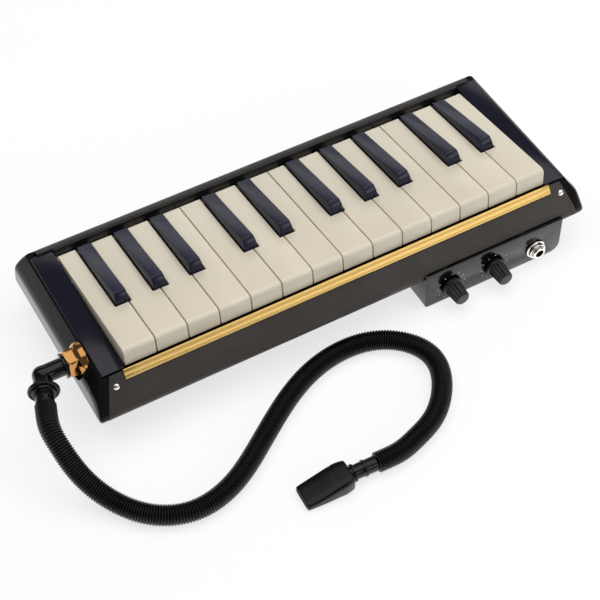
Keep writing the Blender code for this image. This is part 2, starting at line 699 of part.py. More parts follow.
def make_shell():
    wide = TOP_HALF_LENGTH + SIDE_FLARE + 10 * MM
    leather = ((0.030, 0.027, 0.025), 0.55, 0.0, 0.0)
    gloss = ((0.016, 0.014, 0.014), 0.12, 0.0, 0.6)
    navy = ((0.010, 0.011, 0.017), 0.10, 0.0, 0.8)

    path = front_curve(4, 6, FRONT_EDGE_HEIGHT) + [(FRONT_SEAM, BODY_BOTTOM)]
    front = place("front_cover", prism(sheet_outline(path, SHEET), "x", -wide, wide), leather, smooth=30)
    boolean(front, prism(length_outline(CAP_WALL + GAP), "y", -BEYOND, BEYOND), "INTERSECT", "trim")
    boolean(front, box_clearance(), label="box")

    path = [(FRONT_SEAM + SEAM_GAP, BODY_BOTTOM), (BACK_SEAM - SEAM_GAP, BODY_BOTTOM)]
    bottom = place("bottom_cover", prism(sheet_outline(path, SHEET), "x", -wide, wide), leather)
    boolean(bottom, prism(length_outline(CAP_WALL + GAP), "y", -BEYOND, BEYOND), "INTERSECT", "trim")
    boolean(bottom, box_clearance(), label="box")

    cover_edge = CHEEK_BACK + GAP
    path = [(BACK_SEAM, BODY_BOTTOM)] + back_curve(8, 6, cover_edge)
    rear = place("rear_cover", prism(sheet_outline(path, SHEET), "x", -wide, wide), leather, smooth=30)
    boolean(rear, prism(length_outline(CAP_WALL + GAP), "y", -BEYOND, BEYOND), "INTERSECT", "trim")

    step = CHEEK_BACK + GAP
    outline = front_curve(4, 6, CAP_TOP) + back_curve(8, 6, step) + [(step, CAP_TOP)]
    for side, name in ((-1, "left_end_cap"), (1, "right_end_cap")):
        low, high = sorted((side * CHEEK_IN, side * wide))
        cap = place(name, prism(outline, "x", low, high), gloss, smooth=30)
        heights = [z for x, z in length_outline(0.0)]
        heights = heights[:len(heights) // 2]
        band = [(side * outer_x(max(z, BODY_BOTTOM)), z) for z in heights]
        band += [(side * (outer_x(max(z, BODY_BOTTOM)) - CAP_WALL), z) for z in reversed(heights)]
        boolean(cap, prism(band, "y", -BEYOND, BEYOND), "INTERSECT", "flare")
        if side < 0:
            recess = turned(
                (-wide, SOCKET_BACK, SOCKET_HEIGHT), (1, 0, 0),
                [
                    (0, SOCKET_RECESS), (wide + SOCKET_SEAT, SOCKET_RECESS),
                    (wide + SOCKET_SEAT, SOCKET_SPIGOT + GAP), (wide - CHEEK_IN, SOCKET_SPIGOT + GAP),
                ], sides=24,
            )
            boolean(cap, recess, label="socket")
        else:
            hole = turned(
                (CHEEK_IN, DRAIN_BACK, DRAIN_HEIGHT), (1, 0, 0),
                [(0, DRAIN_HEAD + GAP), (wide - CHEEK_IN, DRAIN_HEAD + GAP)], sides=16,
            )
            boolean(cap, hole, label="button")

    for side, name in ((-1, "left_cheek"), (1, "right_cheek")):
        low = CHEEK_TOP - CHEEK_SHEET
        outline = [
            (CHEEK_IN, CHEEK_WALL_BOTTOM), (CHEEK_IN + CHEEK_WALL, CHEEK_WALL_BOTTOM),
            (CHEEK_IN + CHEEK_WALL, low), (TOP_HALF_LENGTH, low),
            (TOP_HALF_LENGTH, CHEEK_TOP - CHEEK_CHAMFER), (TOP_HALF_LENGTH - CHEEK_CHAMFER, CHEEK_TOP),
            (CHEEK_IN, CHEEK_TOP),
        ]
        outline = [(side * x, z) for x, z in outline]
        place(name, prism(outline, "y", CHEEK_FRONT, CHEEK_BACK), navy)

    # the gilt trim lies on the sloping front, with a shallow groove along its middle
    face = Vector((front_y(TRIM_TOP) - front_y(TRIM_BOTTOM), TRIM_TOP - TRIM_BOTTOM)).normalized()
    away = Vector((-face.y, face.x))
    inner, outer = [], []
    for i in range(5):
        z = TRIM_TOP + (TRIM_BOTTOM - TRIM_TOP) * i / 4
        start = Vector((front_y(z), z))
        inner.append(start + away * GAP)
        outer.append(start + away * (GAP + TRIM_THICK - (TRIM_GROOVE if i == 2 else 0.0)))
    gold = ((0.78, 0.55, 0.18), 0.22, 1.0)
    place("trim_bar", prism([tuple(p) for p in outer + inner[::-1]], "x", -TRIM_HALF_LENGTH, TRIM_HALF_LENGTH), gold)

    outline = [
        (RAIL_FRONT, RAIL_BOTTOM), (RAIL_FRONT + RAIL_WALL, RAIL_BOTTOM),
        (RAIL_FRONT + RAIL_WALL, RAIL_LEDGE_TOP - SHEET), (RAIL_FRONT + RAIL_WALL + RAIL_LEDGE, RAIL_LEDGE_TOP - SHEET),
        (RAIL_FRONT + RAIL_WALL + RAIL_LEDGE, RAIL_LEDGE_TOP), (RAIL_FRONT + RAIL_WALL, RAIL_LEDGE_TOP),
        (RAIL_FRONT + RAIL_WALL, RAIL_TOP), (RAIL_FRONT, RAIL_TOP),
    ]
    place("rear_rail", prism(outline, "x", -SHAFT_HALF, SHAFT_HALF), ((0.02, 0.018, 0.018), 0.3))

    rubber = ((0.02, 0.02, 0.02), 0.8)
    half = FOOT_WIDTH / 2
    top = BODY_BOTTOM - GAP
    place("front_foot", block(
        (-FOOT_HALF_LENGTH, FRONT_FOOT_AT - half, 0), (BOX_LEFT - FOOT_BOX_GAP, FRONT_FOOT_AT + half, top)), rubber)
    place("rear_foot", block(
        (-FOOT_HALF_LENGTH, BACK_FOOT_AT - half, 0), (FOOT_HALF_LENGTH, BACK_FOOT_AT + half, top)), rubber)


def make_frame():
    plastic = ((0.05, 0.05, 0.055), 0.5)
    stop_top = pressed_bottom_at(STOP_WALL_AT + FRAME_WALL) - GAP
    under = FLOOR_TOP - FLOOR_SHEET
    rib = BODY_BOTTOM + SHEET + GAP
    half = outer_x(rib) - CAP_WALL - FRAME_END_GAP
    wall_back = FRAME_FRONT + FRAME_WALL
    floor = place("chassis", block(
        (-half, FRAME_FRONT, under), (half, FRAME_BACK, FLOOR_TOP)), plastic)
    profile = [
        (FRAME_FRONT, under + 0.5 * MM), (wall_back, under + 0.5 * MM), (wall_back, FLANGE_TOP - FLANGE_SHEET),
        (FLANGE_BACK, FLANGE_TOP - FLANGE_SHEET), (FLANGE_BACK, FLANGE_TOP), (FLANGE_FRONT, FLANGE_TOP),
        (FLANGE_FRONT, FLANGE_TOP - FLANGE_SHEET), (FRAME_FRONT, FLANGE_TOP - FLANGE_SHEET),
    ]
    walls = prism(profile, "x", -SHAFT_HALF, SHAFT_HALF)
    block((-SHAFT_HALF, STOP_WALL_AT, under + 0.5 * MM), (SHAFT_HALF, STOP_WALL_AT + FRAME_WALL, stop_top), walls)
    boolean(floor, walls, "UNION", "walls")
    ribs = blocks([
        ((-half, at, rib), (half, at + FRAME_WALL, under + 0.7 * MM))
        for at in (FRAME_FRONT + 8 * MM, BACK_SEAM)
    ])
    boolean(floor, ribs, "UNION", "ribs")
    # one guide tab stands inside each key and keeps it from swinging sideways
    tabs = []
    for name, kind, index, middle in key_list():
        if kind == "white":
            left, right, rear_left, rear_right = rear_span(index)
            x, y, foot = (left + right) / 2, FLANGE_BACK - 2 * MM - GUIDE_LENGTH, FLANGE_TOP
        else:
            x, y, foot = middle, STOP_WALL_AT, stop_top
        tabs.append((
            (x - GUIDE_WIDTH / 2, y, foot - 0.4 * MM),
            (x + GUIDE_WIDTH / 2, y + GUIDE_LENGTH, foot + GUIDE_RISE),
        ))
    boolean(floor, blocks(tabs), "UNION", "guides")
    boolean(floor, box_clearance(), label="box")

    felt_top = pressed_bottom_at(FELT_BACK) - GAP
    half = SHAFT_HALF - 1 * MM
    place("front_felt", block((-half, FELT_FRONT, FLANGE_TOP + GAP), (half, FELT_BACK, felt_top)),
          ((0.16, 0.03, 0.03), 0.95))


def make_chest():
    abs_grey = ((0.22, 0.22, 0.23), 0.5)
    chest = place("wind_chest", block(
        (CHEST_LEFT, CHEST_FRONT, CHEST_BOTTOM), (CHEST_RIGHT, CHEST_BACK, CHEST_TOP)), abs_grey)
    inside = block(
        (CHEST_LEFT + CHEST_WALL, CHEST_FRONT + CHEST_WALL, CHEST_BOTTOM - 5 * MM),
        (CHEST_RIGHT - CHEST_WALL, CHEST_BACK - CHEST_WALL, CHEST_TOP - CHEST_WALL),
    )
    boolean(chest, inside, label="inside")
    keys = key_list()
    slots = [
        ((x - SLOT_WIDTH / 2, SLOT_FRONT, CHEST_TOP - 2 * CHEST_WALL), (x + SLOT_WIDTH / 2, SLOT_BACK, CHEST_TOP + 2 * MM))
        for name, kind, index, x in keys
    ]
    boolean(chest, blocks(slots), label="slots")
    inlet = ((CHEST_LEFT - 5 * MM, INLET_FRONT, INLET_BOTTOM), (CHEST_LEFT + 5 * MM, INLET_BACK, INLET_TOP))
    boolean(chest, blocks([inlet]), label="inlet")
    valve = turned(
        (CHEST_RIGHT - 6 * MM, DRAIN_BACK, DRAIN_HEIGHT), (1, 0, 0),
        [(0, DRAIN_ROD + GAP), (12 * MM, DRAIN_ROD + GAP)], sides=16,
    )
    boolean(chest, valve, label="drain")
    place("chest_lid", block(
        (CHEST_LEFT, CHEST_FRONT, CHEST_BOTTOM - GAP - LID_SHEET), (CHEST_RIGHT, LID_BACK, CHEST_BOTTOM - GAP)), abs_grey)

    # reed plates: each tongue is left by a U-shaped slit and grows longer toward the low keys
    top = CHEST_TOP - CHEST_WALL - GAP
    brass = ((0.62, 0.44, 0.17), 0.3, 1.0)
    split = (keys[11][3] + keys[12][3]) / 2
    low_left = CHEST_LEFT + CHEST_WALL + REED_MARGIN
    high_right = CHEST_RIGHT - CHEST_WALL - REED_MARGIN
    for name, low, high, part in (
        ("reed_plate_low", low_left, split - REED_SPLIT / 2, keys[:12]),
        ("reed_plate_high", split + REED_SPLIT / 2, high_right, keys[12:]),
    ):
        front = CHEST_FRONT + CHEST_WALL + REED_MARGIN
        back = CHEST_BACK - CHEST_WALL - 0.5 * MM
        plate = place(name, block((low, front, top - REED_SHEET), (high, back, top)), brass)
        slits = bmesh.new()
        for key in part:
            share = keys.index(key) / (len(keys) - 1)
            length = REED_LONGEST + (REED_SHORTEST - REED_LONGEST) * share
            half = REED_WIDTH / 2
            tip = back - 1.2 * MM
            x = min(max(key[3], low + half + 1.5 * MM), high - half - 1.5 * MM)
            start = tip - length
            outline = [
                (x - half, start), (x - half + REED_SLIT, start), (x - half + REED_SLIT, tip - REED_SLIT),
                (x + half - REED_SLIT, tip - REED_SLIT), (x + half - REED_SLIT, start), (x + half, start),
                (x + half, tip), (x - half, tip),
            ]
            prism(outline, "z", top - REED_SHEET - 2 * MM, top + 2 * MM, slits)
        boolean(plate, slits, label="slits")

    # rail with the shaft's posts, which reach up into the hollow white keys
    base = CHEST_TOP + GAP
    rail = place("pivot_rail", block(
        (-SHAFT_HALF + 2 * MM, RAIL_BASE_FRONT, base), (CHEST_RIGHT - 1 * MM, RAIL_BASE_BACK, base + RAIL_BASE)), abs_grey)
    posts = []
    whites = [key for key in keys if key[1] == "white"]
    chosen = [key for i, key in enumerate(whites) if i % 7 in (0, 2, 4, 6)]
    for key in chosen:
        posts.append((
            (key[3] - POST_WIDTH / 2, PIVOT_Y - POST_LENGTH / 2, base + RAIL_BASE - 0.5 * MM),
            (key[3] + POST_WIDTH / 2, PIVOT_Y + POST_LENGTH / 2, PIVOT_Z + POST_ABOVE),
        ))
    boolean(rail, blocks(posts), "UNION", "posts")
    radius = SHAFT_RADIUS + RUNNING
    boolean(rail, prism(circle(PIVOT_Y, PIVOT_Z, radius, 16), "x", -2 * KEYS_HALF, 2 * KEYS_HALF), label="shaft_way")
    steel = ((0.55, 0.55, 0.56), 0.25, 1.0)
    shaft = prism(circle(0, 0, SHAFT_RADIUS, 16), "x", -SHAFT_HALF, SHAFT_HALF)
    place("key_shaft", shaft, steel, at=(0, PIVOT_Y, PIVOT_Z), smooth=30)

    # leaf springs: one strip along the rail with a leaf under the rib of each key
    strip_back = PIVOT_Y - POST_LENGTH / 2 - GAP
    strip_front = strip_back - SPRING_STRIP
    floor = base + RAIL_BASE + GAP
    tip_y = key_to_body(RIB_START + RIB_WIDTH / 2, -KEY_DEPTH)[0]
    tip_z = key_bottom_at(tip_y) - GAP
    comb = place("key_springs", block(
        (-SHAFT_HALF + 3 * MM, strip_front, floor), (keys[-1][3] + SPRING_WIDTH, strip_back, floor + SPRING_SHEET)), steel)
    leaves = bmesh.new()
    root_y = strip_front + 0.8 * MM
    outline = [
        (root_y, floor + 0.1 * MM), (root_y, floor + SPRING_SHEET - 0.1 * MM),
        (tip_y, tip_z), (tip_y - 1 * MM, tip_z - SPRING_SHEET),
    ]
    for name, kind, index, x in keys:
        prism(outline, "x", x - SPRING_WIDTH / 2, x + SPRING_WIDTH / 2, leaves)
    boolean(comb, leaves, "UNION", "leaves")

    duct = place("side_duct", block((DUCT_LEFT, DUCT_FRONT, SHELF), (DUCT_RIGHT, DUCT_BACK, CAP_TOP)), abs_grey)
    inside = block(
        (DUCT_LEFT + DUCT_WALL, DUCT_FRONT + DUCT_WALL, SHELF + DUCT_WALL),
        (DUCT_RIGHT - DUCT_WALL, DUCT_BACK - DUCT_WALL, CAP_TOP - DUCT_WALL),
    )
    boolean(duct, inside, label="inside")
    air = turned(
        (DUCT_LEFT - 5 * MM, SOCKET_BACK, SOCKET_HEIGHT), (1, 0, 0),
        [(0, SOCKET_BORE), (5 * MM + 2 * DUCT_WALL, SOCKET_BORE)], sides=16,
    )
    block((DUCT_RIGHT - 2 * DUCT_WALL, INLET_FRONT, INLET_BOTTOM), (DUCT_RIGHT + 5 * MM, INLET_BACK, INLET_TOP), air)
    boolean(duct, air, label="ways")


def make_drain():
    tip = outer_x(DRAIN_HEIGHT) + DRAIN_OUT
    face = CHEST_RIGHT - CHEST_WALL - GAP
    profile = [
        (0, DRAIN_DISC), (DRAIN_DISC_SHEET, DRAIN_DISC), (DRAIN_DISC_SHEET, DRAIN_ROD),
        (DRAIN_FLANGE_AT - DRAIN_FLANGE_SHEET - face + DRAIN_DISC_SHEET, DRAIN_ROD),
        (DRAIN_FLANGE_AT - DRAIN_FLANGE_SHEET - face + DRAIN_DISC_SHEET, DRAIN_FLANGE),
        (DRAIN_FLANGE_AT - face + DRAIN_DISC_SHEET, DRAIN_FLANGE),
        (DRAIN_FLANGE_AT - face + DRAIN_DISC_SHEET, DRAIN_HEAD),
        (tip - face + DRAIN_DISC_SHEET - 0.6 * MM, DRAIN_HEAD),
        (tip - face + DRAIN_DISC_SHEET, DRAIN_HEAD - 0.6 * MM),
    ]
    place("drain_button", turned((-DRAIN_DISC_SHEET, 0, 0), (1, 0, 0), profile, sides=20),
          ((0.03, 0.03, 0.03), 0.35), at=(face, DRAIN_BACK, DRAIN_HEIGHT), smooth=40)


def make_socket():
    centre = (0, SOCKET_BACK, SOCKET_HEIGHT)
    seat = SOCKET_SEAT - GAP
    hexagon_end = seat - SOCKET_COLLAR_LENGTH
    gold = ((0.70, 0.42, 0.12), 0.2, 1.0)
    corner = NUT_FLATS / 2 / math.cos(math.pi / 6)
    nut = place("socket_nut", prism(
        circle(SOCKET_BACK, SOCKET_HEIGHT, corner, 6, math.pi / 3), "x", NUT_END, hexagon_end + 0.4 * MM), gold)
    collar = turned((0, SOCKET_BACK, SOCKET_HEIGHT), (1, 0, 0), [
        (hexagon_end, SOCKET_COLLAR - 0.8 * MM), (hexagon_end + 0.8 * MM, SOCKET_COLLAR), (seat, SOCKET_COLLAR),
        (seat, SOCKET_SPIGOT), (DUCT_LEFT - GAP, SOCKET_SPIGOT),
    ], sides=24)
    boolean(nut, collar, "UNION", "collar")
    chamfer = turned((0, SOCKET_BACK, SOCKET_HEIGHT), (1, 0, 0), [
        (NUT_END, NUT_FLATS / 2 - 0.1 * MM), (NUT_END + 1.2 * MM, corner + 0.6 * MM),
        (hexagon_end, corner + 4 * MM), (DUCT_LEFT, corner + 4 * MM),
    ], sides=24)
    boolean(nut, chamfer, "INTERSECT", "chamfer")
    bore = turned((0, SOCKET_BACK, SOCKET_HEIGHT), (1, 0, 0), [
        (NUT_END - 5 * MM, SOCKET_BORE), (DUCT_LEFT + 5 * MM, SOCKET_BORE)], sides=20)
    boolean(nut, bore, label="bore")


def elbow_path(s):
    """Point and heading at a distance along the elbow's centre line, from its plug's tip."""
    tangent = ELBOW_BEND * math.tan(ELBOW_TURN / 2)
    first = PLUG_TIP_X - ELBOW_CORNER.x - tangent
    arc = ELBOW_BEND * ELBOW_TURN
    if s <= first:
        return Vector((PLUG_TIP_X - s, SOCKET_BACK, SOCKET_HEIGHT)), Vector((-1, 0, 0))
    if s <= first + arc:
        angle = (s - first) / ELBOW_BEND
        x = ELBOW_CORNER.x + tangent - ELBOW_BEND * math.sin(angle)
        y = SOCKET_BACK - ELBOW_BEND * (1 - math.cos(angle))
        return Vector((x, y, SOCKET_HEIGHT)), Vector((-math.cos(angle), -math.sin(angle), 0))
    rest = s - first - arc + tangent
    return ELBOW_CORNER + ELBOW_OUT * rest, ELBOW_OUT.copy()


PLUG_TIP_X = NUT_END + PLUG_LENGTH


def make_elbow():
    black = ((0.015, 0.015, 0.016), 0.35)
    tangent = ELBOW_BEND * math.tan(ELBOW_TURN / 2)
    first = PLUG_TIP_X - ELBOW_CORNER.x - tangent
    arc = ELBOW_BEND * ELBOW_TURN
    end = first + arc + ELBOW_LEG - tangent
    plug = SOCKET_BORE - GAP
    neck = PLUG_LENGTH + GAP
    disc = neck + ELBOW_NECK
    # the long plug turns in the socket, the disc closes it, then the tube bends to the hose
    outer = [(0, plug), (neck, plug), (neck, ELBOW_RADIUS), (disc, ELBOW_RADIUS), (disc, ELBOW_DISC),
             (disc + ELBOW_DISC_SHEET, ELBOW_DISC), (disc + ELBOW_DISC_SHEET, ELBOW_RADIUS), (first, ELBOW_RADIUS)]
    outer += [(first + arc * i / 6, ELBOW_RADIUS) for i in range(1, 7)]
    outer += [(first + arc + 1.2 * MM, ELBOW_OUT_RADIUS), (end, ELBOW_OUT_RADIUS)]
    inner = [(0, ELBOW_BORE), (first, ELBOW_BORE)]
    inner += [(first + arc * i / 6, ELBOW_BORE) for i in range(1, 7)]
    inner += [(end, ELBOW_BORE)]
    shape = bmesh.new()
    rings = [loop(shape, *elbow_path(s), r, 16) for s, r in outer]
    rings += [loop(shape, *elbow_path(s), r, 16) for s, r in reversed(inner)]
    skin(shape, rings, closed_back=True)
    # the elbow and all that hangs on it turn about the socket's axis
    axis = Vector((PLUG_TIP_X, SOCKET_BACK, SOCKET_HEIGHT))
    swivel = bpy.data.objects.new("elbow_swivel", None)
    bpy.context.scene.collection.objects.link(swivel)
    swivel.parent = ROOT
    swivel.location = axis
    place("elbow", shape, black, at=-axis, parent=swivel, smooth=40)

    start = COLLAR_START
    flange_end = start + COLLAR_FLANGE_SHEET
    neck_end = flange_end + COLLAR_NECK_LENGTH
    collar = turned(ELBOW_CORNER, ELBOW_OUT, [
        (start, COLLAR_FLANGE - 0.5 * MM), (start + 0.5 * MM, COLLAR_FLANGE), (flange_end - 0.5 * MM, COLLAR_FLANGE),
        (flange_end, COLLAR_FLANGE - 0.5 * MM), (flange_end, COLLAR_NECK), (neck_end, COLLAR_NECK),
        (neck_end, COLLAR_SHOULDER), (COLLAR_END, COLLAR_SHOULDER), (COLLAR_END, COLLAR_TAIL),
        (COLLAR_END + BARB_LENGTH, COLLAR_TAIL - 0.3 * MM),
    ], [(start, ELBOW_BORE - 0.4 * MM), (COLLAR_END + BARB_LENGTH, ELBOW_BORE - 0.4 * MM)], sides=20)
    place("hose_collar", collar, black, at=-axis, parent=swivel, smooth=40)
    return swivel


def spline(points, start_way, end_way, samples=60):
    """A smooth curve through points: cubic pieces over chord length with set end directions."""
    p = np.array(points, float)
    h = np.linalg.norm(np.diff(p, axis=0), axis=1)
    count = len(p)
    system = np.zeros((count, count))
    right = np.zeros((count, 3))
    system[0, 0] = system[-1, -1] = 1.0
    right[0], right[-1] = start_way, end_way
    for i in range(1, count - 1):
        system[i, i - 1] = h[i]
        system[i, i] = 2 * (h[i - 1] + h[i])
        system[i, i + 1] = h[i - 1]
        right[i] = 3 * (h[i - 1] * (p[i + 1] - p[i]) / h[i] + h[i] * (p[i] - p[i - 1]) / h[i - 1])
    slope = np.linalg.solve(system, right)
    rows = []
    for i in range(count - 1):
        t = np.linspace(0, 1, samples, endpoint=False)[:, None]
        rows.append(
            (2 * t**3 - 3 * t**2 + 1) * p[i] + (t**3 - 2 * t**2 + t) * h[i] * slope[i]
            + (-2 * t**3 + 3 * t**2) * p[i + 1] + (t**3 - t**2) * h[i] * slope[i + 1]
        )
    rows.append(p[-1:])
    return np.concatenate(rows)


def hose_line():
    """The hose's centre line as close points, straight for one diameter at each end."""
    straight = 2 * HOSE_RADIUS
    start = np.array(HOSE_START)
    way = np.array(ELBOW_OUT)
    end = np.array(HOSE_END)
    end_way = np.array([math.cos(HOSE_END_WAY), math.sin(HOSE_END_WAY), 0.0])
    below = np.array((ELBOW_CORNER.x, ELBOW_CORNER.y, 0.0))
    inner = [start + way * straight] + [below + p for p in HOSE_ROUTE] + [end - end_way * straight]
    middle = spline(inner, way, end_way)
    middle[:, 2] = np.maximum(middle[:, 2], HOSE_LIE)
    return np.concatenate([start[None], middle, end[None]])


def along(line, distances):
    steps = np.concatenate([[0], np.cumsum(np.linalg.norm(np.diff(line, axis=0), axis=1))])
    return np.stack([np.interp(distances, steps, line[:, k]) for k in range(3)], axis=1), steps[-1]


def tube(name, points, radii, resolution):
    """A curve with a bevel and filled caps, turned into a mesh."""
    curve = bpy.data.curves.new(name, "CURVE")
    curve.dimensions = "3D"
    curve.bevel_depth = max(radii)
    curve.bevel_resolution = resolution
    curve.use_fill_caps = True
    row = curve.splines.new("POLY")
    row.points.add(len(points) - 1)
    for spot, point, radius in zip(row.points, points, radii):
        spot.co = (*point, 1.0)
        spot.radius = radius / max(radii)
    guide = bpy.data.objects.new(name + "_curve", curve)
    bpy.context.scene.collection.objects.link(guide)
    bpy.context.view_layer.update()
    mesh = bpy.data.meshes.new_from_object(guide.evaluated_get(bpy.context.evaluated_depsgraph_get()))
    bpy.data.objects.remove(guide, do_unlink=True)
    shape = bmesh.new()
    shape.from_mesh(mesh)
    bpy.data.meshes.remove(mesh)
    bmesh.ops.remove_doubles(shape, verts=shape.verts, dist=1e-6)
    return shape


def make_hose(swivel):
    black = ((0.012, 0.012, 0.013), 0.45)
    line = hose_line()
    length = along(line, [0.0])[1]
    pitch = length / HOSE_RIBS
    # each rib is a crest and a valley
    stations, radii = [0.0], [HOSE_VALLEY]
    for i in range(HOSE_RIBS):
        stations += [(i + 0.3) * pitch, (i + 0.8) * pitch]
        radii += [HOSE_RADIUS, HOSE_VALLEY]
    stations.append(length)
    radii.append(HOSE_VALLEY)
    points, _ = along(line, stations)
    back = -swivel.location
    hose = place("hose", tube("hose", points, radii, 2), black, at=back, parent=swivel, smooth=60)
    count = 50
    bore_points, _ = along(line, np.linspace(0, length, count))
    bore_points[0] -= np.array(ELBOW_OUT) * 2 * MM
    end_way = np.array([math.cos(HOSE_END_WAY), math.sin(HOSE_END_WAY), 0.0])
    bore_points[-1] += end_way * 2 * MM
    boolean(hose, tube("hose_bore", bore_points, [HOSE_BORE] * count, 2), label="bore")

    far = np.linalg.norm(points[:, None] - points[None], axis=2)
    steps = np.array(stations)
    apart = np.abs(steps[:, None] - steps[None]) > 6 * HOSE_RADIUS
    least = far[apart].min() - 2 * HOSE_RADIUS
    print("hose length %.1f mm, rib pitch %.2f mm, least gap to itself %.1f mm" % (
        length / MM, pitch / MM, least / MM))

    connector = turned(HOSE_END, tuple(end_way), [
        (-BARB_LENGTH, HOSE_BORE - GAP - 0.4 * MM), (GAP, HOSE_BORE - GAP - 0.2 * MM), (GAP, CONNECTOR_RADIUS),
        (RING_AT - RING_SHEET / 2, CONNECTOR_RADIUS), (RING_AT - RING_SHEET / 2, RING_RADIUS),
        (RING_AT + RING_SHEET / 2, RING_RADIUS), (RING_AT + RING_SHEET / 2, CONNECTOR_RADIUS),
        (END_RING_AT - RING_SHEET / 2, CONNECTOR_RADIUS), (END_RING_AT - RING_SHEET / 2, END_RING_RADIUS),
        (END_RING_AT + RING_SHEET / 2, END_RING_RADIUS), (END_RING_AT + RING_SHEET / 2, CONNECTOR_RADIUS),
        (CONNECTOR_LENGTH, CONNECTOR_RADIUS), (CONNECTOR_LENGTH, CONNECTOR_RADIUS - 1.0 * MM),
        (CONNECTOR_LENGTH + 9 * MM, CONNECTOR_RADIUS - 1.2 * MM),
    ], [(-BARB_LENGTH, CONNECTOR_BORE), (CONNECTOR_LENGTH + 9 * MM, CONNECTOR_BORE)], sides=16)
    place("hose_connector", connector, black, at=back, parent=swivel, smooth=40)

    # mouthpiece: rounded sections that flatten to the lips
    start = Vector(HOSE_END) + Vector(end_way) * (CONNECTOR_LENGTH + GAP)
    level = Vector(end_way).cross(Vector((0, 0, 1))).normalized()
    low = 0.3 * MM
    sections = [
        (0.0, MOUTH_BACK_WIDTH, low + 1.4 * MM, MOUTH_HEIGHT - 0.6 * MM),
        (1.5 * MM, MOUTH_BACK_WIDTH + 1.6 * MM, low + 0.5 * MM, MOUTH_HEIGHT),
        (7.0 * MM, MOUTH_WIDTH, low, MOUTH_HEIGHT - 0.8 * MM),
        (MOUTH_LENGTH * 0.5, MOUTH_WIDTH, low, MOUTH_HEIGHT - 3.2 * MM),
        (MOUTH_LENGTH * 0.8, MOUTH_WIDTH - 1.0 * MM, low, MOUTH_LIP + 1.8 * MM),
        (MOUTH_LENGTH - 0.8 * MM, MOUTH_LIP_WIDTH, low, MOUTH_LIP + 0.2 * MM),
        (MOUTH_LENGTH, MOUTH_LIP_WIDTH - 0.8 * MM, low + 0.3 * MM, MOUTH_LIP - 0.3 * MM),
    ]
    shape = bmesh.new()
    rings = []
    for s, width, bottom, top in sections:
        ring = []
        for i in range(20):
            angle = 2 * math.pi * (i + 0.5) / 20
            c, d = math.cos(angle), math.sin(angle)
            across = width / 2 * math.copysign(abs(c) ** 0.45, c)
            up = (top + bottom) / 2 + (top - bottom) / 2 * math.copysign(abs(d) ** 0.45, d)
            spot = start + Vector(end_way) * s + level * across
            ring.append(shape.verts.new((spot.x, spot.y, up)))
        rings.append(ring)
    skin(shape, rings)
    mouth = place("mouthpiece", shape, black, at=back, parent=swivel, smooth=35)
    socket = turned(start, tuple(end_way), [(-1 * MM, CONNECTOR_RADIUS - 0.6 * MM), (9.6 * MM, CONNECTOR_RADIUS - 0.6 * MM),
                                             (9.6 * MM, 2.2 * MM), (MOUTH_LENGTH - 8 * MM, 2.0 * MM)], sides=16)
    boolean(mouth, socket, label="socket")
    heading = Vector(end_way)
    slot = bmesh.new()
    middle = (MOUTH_LIP + low) / 2
    corners = []
    for s, half_high, half_wide in (
        (MOUTH_LENGTH + 2 * MM, MOUTH_SLOT_HEIGHT / 2, MOUTH_SLOT / 2),
        (MOUTH_LENGTH - MOUTH_SLOT_DEPTH, MOUTH_SLOT_HEIGHT / 2, 3.0 * MM),
    ):
        lift = middle if s > MOUTH_LENGTH else HOSE_LIE - 0.8 * MM
        centre = start + heading * s
        corners.append([
            slot.verts.new((*(centre + level * a)[:2], lift + b))
            for a, b in ((-half_wide, -half_high), (half_wide, -half_high), (half_wide, half_high), (-half_wide, half_high))
        ])
    skin(slot, corners)
    boolean(mouth, slot, label="slot")


def rounded_box(inset):
    """The pickup box seen from the front, open to the top, with two round lower corners."""
    left, right, low = BOX_LEFT + inset, BOX_RIGHT - inset, BOX_BOTTOM + inset
    points = []
    for x, radius, first in ((left, BOX_LEFT_ROUND, math.pi), (right, BOX_RIGHT_ROUND, 1.5 * math.pi)):
        radius = max(radius - inset, 0.5 * MM)
        cx = x + radius if x == left else x - radius
        for i in range(6):
            angle = first + math.pi / 2 * i / 5
            points.append((cx + radius * math.cos(angle), low + radius + radius * math.sin(angle)))
    top = BOX_TOP + (BEYOND if inset else 0)
    return points + [(right, top), (left, top)]


